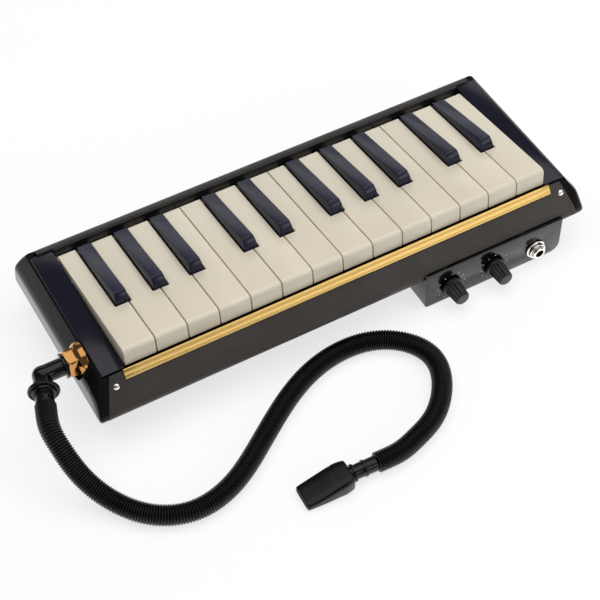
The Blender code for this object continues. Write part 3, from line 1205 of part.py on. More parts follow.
def make_pickup():
    dark = ((0.028, 0.027, 0.028), 0.25, 0.0, 0.3)
    metal = ((0.62, 0.61, 0.58), 0.25, 1.0)
    box = place("control_box", prism(rounded_box(0.0), "y", BOX_FRONT, BOX_BACK), dark, smooth=30)
    boolean(box, prism(rounded_box(BOX_WALL), "y", BOX_FRONT + BOX_WALL, BOX_BACK - BOX_WALL), label="inside")
    holes = bmesh.new()
    for x, z, radius in (
        (VOLUME_AT, KNOB_HEIGHT, POT_BUSH + GAP), (BALANCE_AT, KNOB_HEIGHT, POT_BUSH + GAP),
        (JACK_AT, JACK_HEIGHT, JACK_BUSH + GAP),
    ):
        turned((x, BOX_FRONT - 5 * MM, z), (0, 1, 0), [(0, radius), (5 * MM + 2 * BOX_WALL, radius)], sides=16, shape=holes)
    boolean(box, holes, label="holes")

    inside = BOX_FRONT + BOX_WALL + GAP
    for x, knob_name, pot_name in ((VOLUME_AT, "volume_knob", "volume_pot"), (BALANCE_AT, "balance_knob", "balance_pot")):
        shape = bmesh.new()
        sides = 2 * KNOB_FLUTES
        way = Vector((0, -1, 0))
        steps = [
            (0.0, KNOB_SKIRT, 0.0), (KNOB_SKIRT_SHEET - 0.6 * MM, KNOB_SKIRT, 0.0), (KNOB_SKIRT_SHEET, KNOB_SKIRT - 0.6 * MM, 0.0),
            (KNOB_SKIRT_SHEET, KNOB_BASE, KNOB_FLUTE_DEPTH), (KNOB_LENGTH - 0.8 * MM, KNOB_TIP, KNOB_FLUTE_DEPTH),
            (KNOB_LENGTH, KNOB_TIP - 0.9 * MM, 0.0),
        ]
        skin(shape, [loop(shape, way * s, way, r, sides, flute) for s, r, flute in steps])
        knob = place(knob_name, shape, ((0.02, 0.02, 0.02), 0.5), at=(x, KNOB_BACK, KNOB_HEIGHT), smooth=25)
        bore_depth = POT_SHAFT_LENGTH + GAP - KNOB_STANDOFF
        bore = turned((0, 1 * MM, 0), way, [(0, POT_SHAFT + GAP), (1 * MM + bore_depth, POT_SHAFT + GAP)], sides=16)
        boolean(knob, bore, label="bore")
        bush_end = inside - BOX_FRONT + 0.2 * MM
        pot = turned((x, inside, KNOB_HEIGHT), (0, -1, 0), [
            (-POT_LENGTH, POT_RADIUS), (0, POT_RADIUS), (0, POT_BUSH), (bush_end, POT_BUSH),
            (bush_end, POT_SHAFT), (inside - BOX_FRONT + POT_SHAFT_LENGTH, POT_SHAFT),
        ], sides=16)
        place(pot_name, pot, metal, smooth=40)

    half = JACK_BODY / 2
    jack = place("jack", block(
        (JACK_AT - half, inside, JACK_HEIGHT - half), (JACK_AT + half, inside + JACK_BODY_LENGTH, JACK_HEIGHT + half)), metal)
    bush = turned((JACK_AT, inside + 1 * MM, JACK_HEIGHT), (0, -1, 0), [
        (0, JACK_BUSH), (inside + 1 * MM - BOX_FRONT + JACK_OUT - 0.5 * MM, JACK_BUSH),
        (inside + 1 * MM - BOX_FRONT + JACK_OUT, JACK_BUSH - 0.5 * MM)], sides=20)
    boolean(jack, bush, "UNION", "bush")
    bore = turned((JACK_AT, BOX_FRONT - JACK_OUT - 5 * MM, JACK_HEIGHT), (0, 1, 0),
                  [(0, JACK_BORE), (5 * MM + JACK_BORE_DEPTH, JACK_BORE)], sides=16)
    boolean(jack, bore, label="bore")
    nut = turned((JACK_AT, BOX_FRONT - GAP, JACK_HEIGHT), (0, -1, 0), [
        (0, JACK_WASHER), (JACK_WASHER_SHEET, JACK_WASHER), (JACK_WASHER_SHEET, JACK_NUT),
        (JACK_WASHER_SHEET + JACK_NUT_SHEET - 0.5 * MM, JACK_NUT), (JACK_WASHER_SHEET + JACK_NUT_SHEET, JACK_NUT - 0.5 * MM),
    ], [(0, JACK_BUSH + GAP), (JACK_WASHER_SHEET + JACK_NUT_SHEET, JACK_BUSH + GAP)], sides=20)
    place("jack_nut", nut, ((0.70, 0.69, 0.66), 0.2, 1.0), smooth=40)

    # the board stands on the box's floor behind both potentiometers, with two capacitors
    front = inside + POT_LENGTH + GAP
    floor = BOX_BOTTOM + BOX_WALL + GAP
    middle = (VOLUME_AT + BALANCE_AT) / 2
    board = place("circuit_board", block(
        (middle - BOARD_LENGTH / 2, front, floor), (middle + BOARD_LENGTH / 2, front + BOARD_SHEET, floor + BOARD_HEIGHT)),
        ((0.02, 0.12, 0.05), 0.4))
    cans = bmesh.new()
    for x in (middle - CAN_FROM_MIDDLE, middle - CAN_FROM_MIDDLE + CAN_PITCH):
        turned((x, front + BOARD_SHEET - 0.4 * MM, floor + BOARD_HEIGHT * 0.62), (0, 1, 0),
               [(0, CAN_RADIUS), (CAN_LENGTH, CAN_RADIUS)], sides=12, shape=cans)
    strip = middle + PLUG_STRIP_FROM_MIDDLE
    block((strip, front + BOARD_SHEET - 0.4 * MM, floor + 6 * MM),
          (strip + PLUG_STRIP, front + BOARD_SHEET + 2 * MM, floor + 14 * MM), cans)
    boolean(board, cans, "UNION", "parts")


def origin_shift():
    """Half way along the box that the instrument fills without its hose and elbow."""
    right = max(outer_x(DRAIN_HEIGHT) + DRAIN_OUT, outer_x(WAIST))
    left = NUT_END
    front = KNOB_BACK - KNOB_LENGTH
    back = BACK_FOLD + BACK_BULGE
    return -(left + right) / 2, -(front + back) / 2


start_empty()
ROOT = bpy.data.objects.new("melodica", None)
bpy.context.scene.collection.objects.link(ROOT)
ROOT.location = (*origin_shift(), 0.0)
make_shell()
make_frame()
make_chest()
make_drain()
make_socket()
make_hose(make_elbow())
make_pickup()
make_keys()
print("origin shift %.3f %.3f mm" % tuple(v / MM for v in origin_shift()))
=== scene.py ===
import math
import bpy
import bmesh
import numpy as np
from mathutils import Matrix, Vector


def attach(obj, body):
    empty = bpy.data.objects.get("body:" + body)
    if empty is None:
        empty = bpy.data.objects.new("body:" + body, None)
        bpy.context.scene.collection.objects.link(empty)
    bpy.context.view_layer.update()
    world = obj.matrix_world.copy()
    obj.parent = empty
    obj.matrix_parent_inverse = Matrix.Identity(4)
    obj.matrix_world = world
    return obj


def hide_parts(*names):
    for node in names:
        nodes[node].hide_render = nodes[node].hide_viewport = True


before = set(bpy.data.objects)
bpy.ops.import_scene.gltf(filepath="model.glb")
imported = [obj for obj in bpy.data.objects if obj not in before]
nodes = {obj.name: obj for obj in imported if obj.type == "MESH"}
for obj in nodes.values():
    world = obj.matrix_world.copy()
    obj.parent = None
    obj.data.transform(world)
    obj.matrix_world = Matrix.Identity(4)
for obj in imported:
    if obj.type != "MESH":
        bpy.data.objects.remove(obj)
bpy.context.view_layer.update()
mm = 0.001
shift = Vector((1.205 * mm, -43.650 * mm, 0.0))  # from the design's origin to the frame's


def linear(hexcode):
    # sRGB hex to linear: c/12.92 below 0.04045, else ((c + 0.055)/1.055)^2.4
    values = [int(hexcode[i:i + 2], 16) / 255 for i in (0, 2, 4)]
    return tuple(v / 12.92 if v <= 0.04045 else ((v + 0.055) / 1.055) ** 2.4 for v in values)


def finish(name, look):
    # colour = c * (1 - m) to c * (1 + 2.2 m), roughness = 0.85 r to 1.2 r, both by noise; bumps in a chain;
    # the raised grain tops get a painted highlight
    material = bpy.data.materials.new(name)
    material.use_nodes = True
    tree = material.node_tree
    shader = tree.nodes["Principled BSDF"]
    add, link = tree.nodes.new, tree.links.new
    colour = linear(look["colour"])
    shader.inputs["Metallic"].default_value = look.get("metal", 0.0)
    shader.inputs["Coat Weight"].default_value = look.get("coat", 0.0)
    shader.inputs["Coat Roughness"].default_value = look.get("coatRough", 0.05)
    shader.inputs["Specular IOR Level"].default_value = look.get("specular", 0.5)
    if "sheen" in look:
        shader.inputs["Sheen Weight"].default_value = look["sheen"]
        shader.inputs["Sheen Roughness"].default_value = 0.5
    place = add("ShaderNodeTexCoord").outputs["Object"]

    def noise(scale, detail=3.0, stretch=None):
        # noise at scale * stretch * the point in the object's own coordinates
        source = place
        if stretch:
            mapping = add("ShaderNodeMapping")
            mapping.inputs["Scale"].default_value = stretch
            link(place, mapping.inputs["Vector"])
            source = mapping.outputs["Vector"]
        node = add("ShaderNodeTexNoise")
        node.inputs["Scale"].default_value = scale
        node.inputs["Detail"].default_value = detail
        link(source, node.inputs["Vector"])
        return node.outputs["Fac"]

    def spread(value, low, high, start=0.35, end=0.65):
        # result = low + (high - low) * (value - start) / (end - start), clamped
        node = add("ShaderNodeMapRange")
        node.inputs["From Min"].default_value = start
        node.inputs["From Max"].default_value = end
        node.inputs["To Min"].default_value = low
        node.inputs["To Max"].default_value = high
        link(value, node.inputs["Value"])
        return node.outputs["Result"]

    mottle = look.get("mottle", (60.0, 0.06))
    other = tuple(min(c * (1 + 2.2 * mottle[1]), 1.0) for c in colour)
    base = tuple(c * (1 - mottle[1]) for c in colour)
    mix = add("ShaderNodeMix")
    mix.data_type = "RGBA"
    mix.inputs["A"].default_value = (*base, 1.0)
    mix.inputs["B"].default_value = (*other, 1.0)
    link(spread(noise(mottle[0], 4.0, look.get("stretch")), 0.0, 1.0), mix.inputs["Factor"])
    tint = mix.outputs["Result"]
    heights = []
    if "grain_and_highlight" in look:
        size, depth, highlightGain = look["grain_and_highlight"]
        cells = add("ShaderNodeTexVoronoi")
        cells.feature = "SMOOTH_F1"
        cells.inputs["Scale"].default_value = size
        cells.inputs["Smoothness"].default_value = 0.6
        link(place, cells.inputs["Vector"])
        heights.append((spread(cells.outputs["Distance"], 1.0, 0.0, 0.1, 0.7), depth))
        # painted highlight: the raised tops of the grain cells are painted lighter, by the third grain value,
        # standing in for the sheen they catch
        lift = add("ShaderNodeMix")
        lift.data_type = "RGBA"
        lift.inputs["B"].default_value = (*tuple(min(c * highlightGain, 1.0) for c in colour), 1.0)
        link(tint, lift.inputs["A"])
        link(spread(cells.outputs["Distance"], 0.8, 0.0, 0.05, 0.5), lift.inputs["Factor"])
        tint = lift.outputs["Result"]
    link(tint, shader.inputs["Base Color"])
    rough = look.get("rough", 0.3)
    smear = noise(look.get("smear", 35.0), 4.0, look.get("stretch"))
    link(spread(smear, rough * 0.85, min(rough * 1.2, 1.0)), shader.inputs["Roughness"])
    for scale, depth in look.get("bumps", ()):
        heights.append((noise(scale, 4.0, look.get("stretch")), depth))
    normal = None
    for value, depth in heights:
        bump = add("ShaderNodeBump")
        bump.inputs["Strength"].default_value = 1.0
        bump.inputs["Distance"].default_value = depth
        link(value, bump.inputs["Height"])
        if normal:
            link(normal, bump.inputs["Normal"])
        normal = bump.outputs["Normal"]
    if normal:
        link(normal, shader.inputs["Normal"])
    return material


looks = {
    "ivory": {"colour": "dcd3be", "rough": 0.32, "coat": 0.15, "coatRough": 0.12,
        "mottle": (26.0, 0.03), "smear": 40.0, "stretch": (1.0, 0.35, 1.0),
        "bumps": [(90.0, 0.00003)]},
    "ebony": {"colour": "12132a", "rough": 0.24, "specular": 0.36, "mottle": (120.0, 0.08),
        "bumps": [(350.0, 0.000012)]},
    # leather grain: cell scale, bump depth, and how much lighter the raised tops are painted as a painted
    # highlight
    "leather": {"colour": "36322f", "rough": 0.55, "mottle": (45.0, 0.06),
        "grain_and_highlight": (1500.0, 0.00010, 1.7), "bumps": [(240.0, 0.00006)], "specular": 0.32},
    "capGloss": {"colour": "131011", "rough": 0.14, "specular": 0.17, "mottle": (30.0, 0.08),
        "bumps": [(25.0, 0.00004)]},
    "navy": {"colour": "141421", "rough": 0.14, "specular": 0.25, "mottle": (22.0, 0.05),
        "bumps": [(300.0, 0.00001)]},
    "gilt": {"colour": "d6b26c", "rough": 0.3, "metal": 1.0, "mottle": (60.0, 0.04),
        "stretch": (0.03, 1.0, 1.0), "bumps": [(60.0, 0.000006)]},
    "copperGold": {"colour": "9c7242", "rough": 0.10, "metal": 1.0, "mottle": (60.0, 0.06),
        "bumps": [(200.0, 0.00001)]},
    "railBlack": {"colour": "151314", "rough": 0.32, "mottle": (60.0, 0.08),
        "bumps": [(500.0, 0.00002)]},
    "frame": {"colour": "3a3a3c", "rough": 0.55, "mottle": (60.0, 0.08),
        "bumps": [(700.0, 0.00004)]},
    "chest": {"colour": "6f6f70", "rough": 0.5, "mottle": (50.0, 0.06),
        "bumps": [(700.0, 0.00004)]},
    "felt": {"colour": "6a1d1f", "rough": 0.95, "sheen": 0.6, "mottle": (700.0, 0.25),
        "bumps": [(1600.0, 0.0002)]},
    "brass": {"colour": "c9a45c", "rough": 0.28, "metal": 1.0, "mottle": (60.0, 0.08),
        "stretch": (1.0, 0.1, 1.0), "bumps": [(900.0, 0.00001)]},
    "steel": {"colour": "b9babd", "rough": 0.22, "metal": 1.0, "mottle": (90.0, 0.05),
        "bumps": [(900.0, 0.00001)]},
    "hose": {"colour": "040404", "rough": 0.36, "specular": 0.2, "mottle": (140.0, 0.15),
        "bumps": [(1300.0, 0.00003)]},
    "fitting": {"colour": "050507", "rough": 0.16, "specular": 0.26, "mottle": (90.0, 0.12),
        "bumps": [(1100.0, 0.00002)]},
    "mouth": {"colour": "07070c", "rough": 0.24, "specular": 0.18, "mottle": (90.0, 0.10),
        "bumps": [(1400.0, 0.00002)]},
    "panel": {"colour": "050506", "rough": 0.12, "specular": 0.36, "mottle": (70.0, 0.10),
        "bumps": [(900.0, 0.00003)]},
    "knob": {"colour": "0c0c0c", "rough": 0.45, "specular": 0.4, "mottle": (150.0, 0.12),
        "bumps": [(1600.0, 0.00003)]},
    "nickel": {"colour": "d8d5cd", "rough": 0.16, "metal": 1.0, "mottle": (90.0, 0.05),
        "bumps": [(500.0, 0.00001)]},
    "board": {"colour": "14502a", "rough": 0.35, "coat": 0.4, "mottle": (300.0, 0.25),
        "bumps": [(800.0, 0.00004)]},
    "foot": {"colour": "191919", "rough": 0.8, "mottle": (300.0, 0.15),
        "bumps": [(1500.0, 0.00006)]},
    "dot": {"colour": "e8e6e0", "rough": 0.5, "mottle": (300.0, 0.03), "bumps": [(900.0, 0.00001)]},
}
materials = {name: finish(name, look) for name, look in looks.items()}


def dress(name, mesh, look, body, replaced, sharp):
    mesh.materials.clear()
    mesh.materials.append(materials[look])
    mesh.shade_smooth()
    mesh.set_sharp_from_angle(angle=math.radians(sharp))
    piece = bpy.data.objects.new(name, mesh)
    bpy.context.scene.collection.objects.link(piece)
    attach(piece, body)
    if replaced:
        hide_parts(*replaced)
    return piece


def make(name, verts, faces, look, body, replaced=(), slot=None, sharp=35):
    # a piece from points in the design's own frame: frame point = design point + shift
    mesh = bpy.data.meshes.new(name)
    points = np.asarray(verts, float) + np.array(shift)
    mesh.from_pydata(points.tolist(), [], faces)
    mesh.validate()
    shape = bmesh.new()
    shape.from_mesh(mesh)
    bmesh.ops.recalc_face_normals(shape, faces=shape.faces)
    shape.to_mesh(mesh)
    shape.free()
    return dress(name, mesh, look, body, replaced, sharp)


def grid(rows, cols, wrapRows=False, wrapCols=False, offset=0):
    # quads of a grid of points numbered row by row: point = offset + row * cols + col
    faces = []
    for r in range(rows if wrapRows else rows - 1):
        for c in range(cols if wrapCols else cols - 1):
            here, there = offset + r * cols, offset + ((r + 1) % rows) * cols
            across = (c + 1) % cols
            faces.append((here + c, here + across, there + across, there + c))
    return faces


def lids(rows, sides, offset=0):
    # the two end faces of a tube of rings
    last = offset + (rows - 1) * sides
    return [tuple(range(offset, offset + sides))[::-1], tuple(range(last, last + sides))]


def outward(verts, faces):
    # the same faces, wound so that all of them look out of the closed shell
    shape = bmesh.new()
    points = [shape.verts.new(v) for v in verts]
    for face in faces:
        shape.faces.new([points[i] for i in face])
    bmesh.ops.recalc_face_normals(shape, faces=shape.faces)
    shape.verts.index_update()
    turnedFaces = [tuple(v.index for v in f.verts) for f in shape.faces]
    shape.free()
    return turnedFaces


def sideAxes(way):
    # directions square to a way: level = z x way, upward = way x level
    way = Vector(way).normalized()
    level = Vector((0, 0, 1)).cross(way)
    if level.length < 1e-6:
        level = Vector((1, 0, 0))
    level.normalize()
    return level, way.cross(level)


def turnedPoints(origin, way, profile, sides, flute=None):
    # rings about a line: point = origin + way*s + r*(cos a * level + sin a * upward)
    ahead = np.array(Vector(way).normalized())
    level, upward = (np.array(v) for v in sideAxes(ahead))
    angles = 2 * math.pi * np.arange(sides) / sides
    s, r = (np.array(profile, float)[:, k:k + 1] for k in (0, 1))
    reach = r - flute(angles, s) if flute else r + 0 * angles
    spokes = np.cos(angles)[:, None] * level + np.sin(angles)[:, None] * upward
    return (np.array(origin) + (s * ahead)[:, None] + reach[..., None] * spokes).reshape(-1, 3)


def rounded(points, radius, steps=4):
    # each corner b becomes (1-t)^2 start + 2t(1-t) b + t^2 end, cut back by radius along both sides
    result = [points[0]]
    for a, b, c in zip(points, points[1:], points[2:]):
        a, b, c = (np.array(p, float) for p in (a, b, c))
        u, v = a - b, c - b
        lu, lv = np.linalg.norm(u), np.linalg.norm(v)
        if lu < 1e-7 or lv < 1e-7:
            result.append(tuple(b))
            continue
        cut = min(radius, lu * 0.45, lv * 0.45)
        start, end = b + u / lu * cut, b + v / lv * cut
        for i in range(steps + 1):
            t = i / steps
            result.append(tuple((1 - t) ** 2 * start + 2 * t * (1 - t) * b + t * t * end))
    result.append(points[-1])
    return result


def soften(node, look, width=0.4 * mm, segments=3, angle=30, body="instrument"):
    # a copy of a solid: triangles merged, flat faces joined, edges sharper than the angle rounded
    shape = bmesh.new()
    shape.from_mesh(nodes[node].data)
    bmesh.ops.remove_doubles(shape, verts=shape.verts, dist=2e-6)
    bmesh.ops.dissolve_limit(shape, angle_limit=math.radians(1.0), verts=shape.verts, edges=shape.edges)
    bmesh.ops.recalc_face_normals(shape, faces=shape.faces)
    limit = math.radians(angle)
    edges = [e for e in shape.edges if len(e.link_faces) == 2 and e.calc_face_angle(0.0) > limit]
    bmesh.ops.bevel(shape, geom=edges, offset=width, segments=segments, profile=0.5, affect="EDGES",
                    clamp_overlap=True)
    mesh = bpy.data.meshes.new(node + "_finish")
    shape.to_mesh(mesh)
    shape.free()
    return dress(node + "_finish", mesh, look, body, [node], 40)


def applied(name, verts, faces, modifiers):
    # points and faces of a mesh after a row of modifiers, in the design's own frame
    mesh = bpy.data.meshes.new(name)
    mesh.from_pydata(np.asarray(verts, float).tolist(), [], faces)
    mesh.validate()
    thing = bpy.data.objects.new(name, mesh)
    bpy.context.scene.collection.objects.link(thing)
    helpers = []
    for kind, settings in modifiers:
        step = thing.modifiers.new(kind, kind)
        for key, value in settings.items():
            if key == "cutter":
                tool = bpy.data.meshes.new(name + "_tool")
                tool.from_pydata(np.asarray(value[0], float).tolist(), [], value[1])
                shape = bmesh.new()
                shape.from_mesh(tool)
                bmesh.ops.recalc_face_normals(shape, faces=shape.faces)
                shape.to_mesh(tool)
                shape.free()
                value = bpy.data.objects.new(name + "_tool", tool)
                bpy.context.scene.collection.objects.link(value)
                helpers.append(value)
                key = "object"
            setattr(step, key, value)
    bpy.context.view_layer.update()
    result = thing.evaluated_get(bpy.context.evaluated_depsgraph_get()).to_mesh()
    points = np.empty(len(result.vertices) * 3)
    result.vertices.foreach_get("co", points)
    polygons = [tuple(p.vertices) for p in result.polygons]
    thing.to_mesh_clear()
    for helper in helpers + [thing]:
        bpy.data.objects.remove(helper, do_unlink=True)
    return points.reshape(-1, 3), polygons


def boolean(operation, cutter):
    # one exact Boolean step for applied
    return "BOOLEAN", {"operation": operation, "solver": "EXACT", "cutter": cutter}


def bevel(width, segments, angle):
    # one edge-rounding step for applied, in millimetres and degrees
    return "BEVEL", {"width": width * mm, "segments": segments, "limit_method": "ANGLE",
                     "angle_limit": math.radians(angle)}


def closedTurn(origin, way, profile, sides):
    # points and faces of a turned solid in millimetres, shut at both ends, for joining and cutting
    verts = turnedPoints(np.array(origin) * mm, way, [(s * mm, r * mm) for s, r in profile], sides)
    return verts, grid(len(profile), sides, wrapCols=True) + lids(len(profile), sides)


boxFaces = [(0, 1, 3, 2), (4, 6, 7, 5), (0, 4, 5, 1), (2, 3, 7, 6), (0, 2, 6, 4), (1, 5, 7, 3)]


def boxPoints(low, high):
    # the eight corners and six faces of a level box in millimetres
    xs, ys, zs = zip(low, high)
    return [(x * mm, y * mm, z * mm) for x in xs for y in ys for z in zs], boxFaces


def mmTurned(name, origin, way, profile, look, body, round=0.3, sides=64, **extra):
    # a turned piece in millimetres with rounded corners; a profile may start or end on the axis
    points = rounded([(s * mm, max(r, 0.02) * mm) for s, r in profile], round * mm)
    verts = turnedPoints(np.array(origin) * mm, way, points, sides)
    faces = grid(len(points), sides, wrapCols=True) + lids(len(points), sides)
    return make(name, verts, faces, look, body, **extra)


studioSizes = {
    "eye": (-357.8367, -599.5316, 865.6117),  # millimetres in the design's own frame
    "back": (-0.3045429, -0.5603890, 0.7702063), "right": (0.8730112, -0.4876060, -0.0095814),
    "focal": 1639.959, "picture": 600, "sensor": 36.0, "floorReach": 6,
    "floorWhite": 0.82, "floorWhiteSeen": 0.30, "glowSeen": 0.72, "glowMirrored": 1.0,
    "sky": 0.20, "skySeen": 1.0,
    "lamps": {  # place, aim, size, watts
        "overhead": ((0.1, -0.05, 1.8), (0.1, -0.05, 0), (2.8, 1.9), 32),
        "backPanel": ((0.8, 1.9, 0.85), (0, 0.1, 0.05), (3.0, 0.8), 8),
        "frontFill": ((0.9, -1.5, 0.9), (0, 0, 0.03), (1.4, 0.8), 7)}}


def placeCamera():
    # up = back x right; focal length in mm = focal length in pixels / picture width * sensor width
    back, right = Vector(studioSizes["back"]), Vector(studioSizes["right"])
    up = back.cross(right).normalized()
    right = up.cross(back).normalized()
    camera = bpy.data.objects.new("camera", bpy.data.cameras.new("camera"))
    bpy.context.scene.collection.objects.link(camera)
    spot = Vector(studioSizes["eye"]) * mm + shift
    camera.matrix_world = Matrix.Translation(spot) @ Matrix((right, up, back)).transposed().to_4x4()
    camera.data.sensor_fit = "HORIZONTAL"
    camera.data.sensor_width = studioSizes["sensor"]
    camera.data.lens = studioSizes["focal"] / studioSizes["picture"] * studioSizes["sensor"]
    camera.data.clip_end = 20
    bpy.context.scene.camera = camera


def layFloor():
    # a square in z = 0; glow = glowSeen * camera ray + glowMirrored * glossy ray, over a matte white
    r = studioSizes["floorReach"]
    floor = bpy.data.meshes.new("floor")
    floor.from_pydata([(-r, -r, 0), (r, -r, 0), (r, r, 0), (-r, r, 0)], [], [(0, 1, 2, 3)])
    ground = bpy.data.objects.new("floor", floor)
    bpy.context.scene.collection.objects.link(ground)
    paper = bpy.data.materials.new("paper")
    paper.use_nodes = True
    tree = paper.node_tree
    tree.nodes.clear()
    add, link = tree.nodes.new, tree.links.new
    matte = add("ShaderNodeBsdfDiffuse")
    shade = add("ShaderNodeMix")
    shade.data_type = "RGBA"
    shade.inputs["A"].default_value = (*[studioSizes["floorWhite"]] * 3, 1)
    shade.inputs["B"].default_value = (*[studioSizes["floorWhiteSeen"]] * 3, 1)
    link(shade.outputs["Result"], matte.inputs["Color"])
    glow = add("ShaderNodeEmission")
    glow.inputs["Color"].default_value = (1, 1, 1, 1)
    path = add("ShaderNodeLightPath")
    link(path.outputs["Is Camera Ray"], shade.inputs["Factor"])
    sight = add("ShaderNodeMath")
    sight.operation = "MULTIPLY"
    sight.inputs[1].default_value = studioSizes["glowSeen"]
    link(path.outputs["Is Camera Ray"], sight.inputs[0])
    power = add("ShaderNodeMath")
    power.operation = "MULTIPLY_ADD"
    power.inputs[1].default_value = studioSizes["glowMirrored"]
    link(path.outputs["Is Glossy Ray"], power.inputs[0])
    link(sight.outputs[0], power.inputs[2])
    link(power.outputs[0], glow.inputs["Strength"])
    both = add("ShaderNodeAddShader")
    link(matte.outputs[0], both.inputs[0])
    link(glow.outputs[0], both.inputs[1])
    output = add("ShaderNodeOutputMaterial")
    link(both.outputs[0], output.inputs["Surface"])
    floor.materials.append(paper)


def lightScene():
    # sky strength = sky + (skySeen - sky) * camera ray; three area lamps turned toward their aims
    world = bpy.data.worlds.new("studio")
    bpy.context.scene.world = world
    world.use_nodes = True
    add, link = world.node_tree.nodes.new, world.node_tree.links.new
    sky = world.node_tree.nodes["Background"]
    sky.inputs["Color"].default_value = (0.97, 0.98, 1.0, 1)
    strength = add("ShaderNodeMath")
    strength.operation = "MULTIPLY_ADD"
    strength.inputs[1].default_value = studioSizes["skySeen"] - studioSizes["sky"]
    strength.inputs[2].default_value = studioSizes["sky"]
    link(add("ShaderNodeLightPath").outputs["Is Camera Ray"], strength.inputs[0])
    link(strength.outputs[0], sky.inputs["Strength"])
    for name, (place, aim, size, watts) in studioSizes["lamps"].items():
        data = bpy.data.lights.new(name, "AREA")
        data.shape = "RECTANGLE"
        data.size, data.size_y = size
        data.energy = watts
        thing = bpy.data.objects.new(name, data)
        bpy.context.scene.collection.objects.link(thing)
        thing.location = place
        thing.rotation_euler = (Vector(aim) - Vector(place)).to_track_quat("-Z", "Y").to_euler()


placeCamera()
layFloor()
lightScene()
bpy.context.scene.view_settings.view_transform = "Standard"
print("studio")


hoseSizes = {
    "radius": 6.95 * mm, "valley": 6.15 * mm, "bore": 4.4 * mm,
    "ribs": 262, "ringsPerRib": 6, "boreRings": 140, "sides": 26, "sharpness": 0.75,
    "corner": (-204.0, 24.0, 45.0), "turn": 72, "start": 23.3,  # millimetres and degrees
    "end": (-0.0415, -0.1144, 0.0071), "endTurn": 178,
    "route": [
        (-0.2154, -0.0245, 0.0396), (-0.2120, -0.0376, 0.0282), (-0.2065, -0.0490, 0.0185),
        (-0.1975, -0.0615, 0.0105), (-0.1823, -0.0781, 0.0071), (-0.1574, -0.0895, 0.0071),
        (-0.1290, -0.0848, 0.0071), (-0.1017, -0.0684, 0.0071), (-0.0745, -0.0490, 0.0071),
        (-0.0449, -0.0328, 0.0071), (-0.0131, -0.0264, 0.0071), (0.0163, -0.0342, 0.0071),
        (0.0341, -0.0584, 0.0071), (0.0212, -0.0914, 0.0071), (0.0060, -0.1042, 0.0071),
        (-0.0120, -0.1113, 0.0071)]}


def heading(degrees):
    # level unit direction (cos, sin, 0)
    return np.array([math.cos(math.radians(degrees)), math.sin(math.radians(degrees)), 0.0])


corner = np.array(hoseSizes["corner"]) * mm
elbowWay = -heading(hoseSizes["turn"])
endPoint = np.array(hoseSizes["end"])
endWay = heading(hoseSizes["endTurn"])


def spline(points, startWay, endWay, samples=60):
    # cubic Hermite pieces over chord length; slopes solve the C2 system with set end slopes
    p = np.array(points, float)
    h = np.linalg.norm(np.diff(p, axis=0), axis=1)
    count = len(p)
    system, right = np.zeros((count, count)), np.zeros((count, 3))
    system[0, 0] = system[-1, -1] = 1.0
    right[0], right[-1] = startWay, endWay
    for i in range(1, count - 1):
        system[i, i - 1:i + 2] = h[i], 2 * (h[i - 1] + h[i]), h[i - 1]
        right[i] = 3 * (h[i - 1] * (p[i + 1] - p[i]) / h[i] + h[i] * (p[i] - p[i - 1]) / h[i - 1])
    slope = np.linalg.solve(system, right)
    rows = []
    for i in range(count - 1):
        t = np.linspace(0, 1, samples, endpoint=False)[:, None]
        rows.append((2 * t**3 - 3 * t**2 + 1) * p[i] + (t**3 - 2 * t**2 + t) * h[i] * slope[i]
                    + (-2 * t**3 + 3 * t**2) * p[i + 1] + (t**3 - t**2) * h[i] * slope[i + 1])
    return np.concatenate(rows + [p[-1:]])


def lengths(line):
    # length run at each point of a line
    return np.concatenate([[0], np.cumsum(np.linalg.norm(np.diff(line, axis=0), axis=1))])


def along(line, run, stations):
    # points of a line at set lengths, by straight interpolation
    return np.stack([np.interp(stations, run, line[:, k]) for k in range(3)], axis=1)


def eased(line, step=1.0 * mm, reach=4.5):
    # even steps, then a bell average exp(-n^2 / 2 reach^2); mirrored past its ends, which stay put
    run = lengths(line)
    points = along(line, run, np.linspace(0, run[-1], int(round(run[-1] / step)) + 1))
    width = int(3 * reach)
    bell = np.exp(-0.5 * (np.arange(-width, width + 1) / reach) ** 2)
    bell /= bell.sum()
    before = 2 * points[0] - points[width:0:-1]
    after = 2 * points[-1] - points[-2:-width - 2:-1]
    padded = np.concatenate([before, points, after])
    return np.stack([np.convolve(padded[:, k], bell, mode="valid") for k in range(3)], axis=1)


def hoseMiddle():
    # straight for twice the radius at both ends, with a spline through the route between them
    straight = 2 * hoseSizes["radius"]
    start = corner + elbowWay * hoseSizes["start"] * mm
    stops = [start + elbowWay * straight] + list(hoseSizes["route"]) + [endPoint - endWay * straight]
    middle = spline(stops, elbowWay, endWay)
    return start, eased(np.concatenate([start[None], middle, endPoint[None]]))


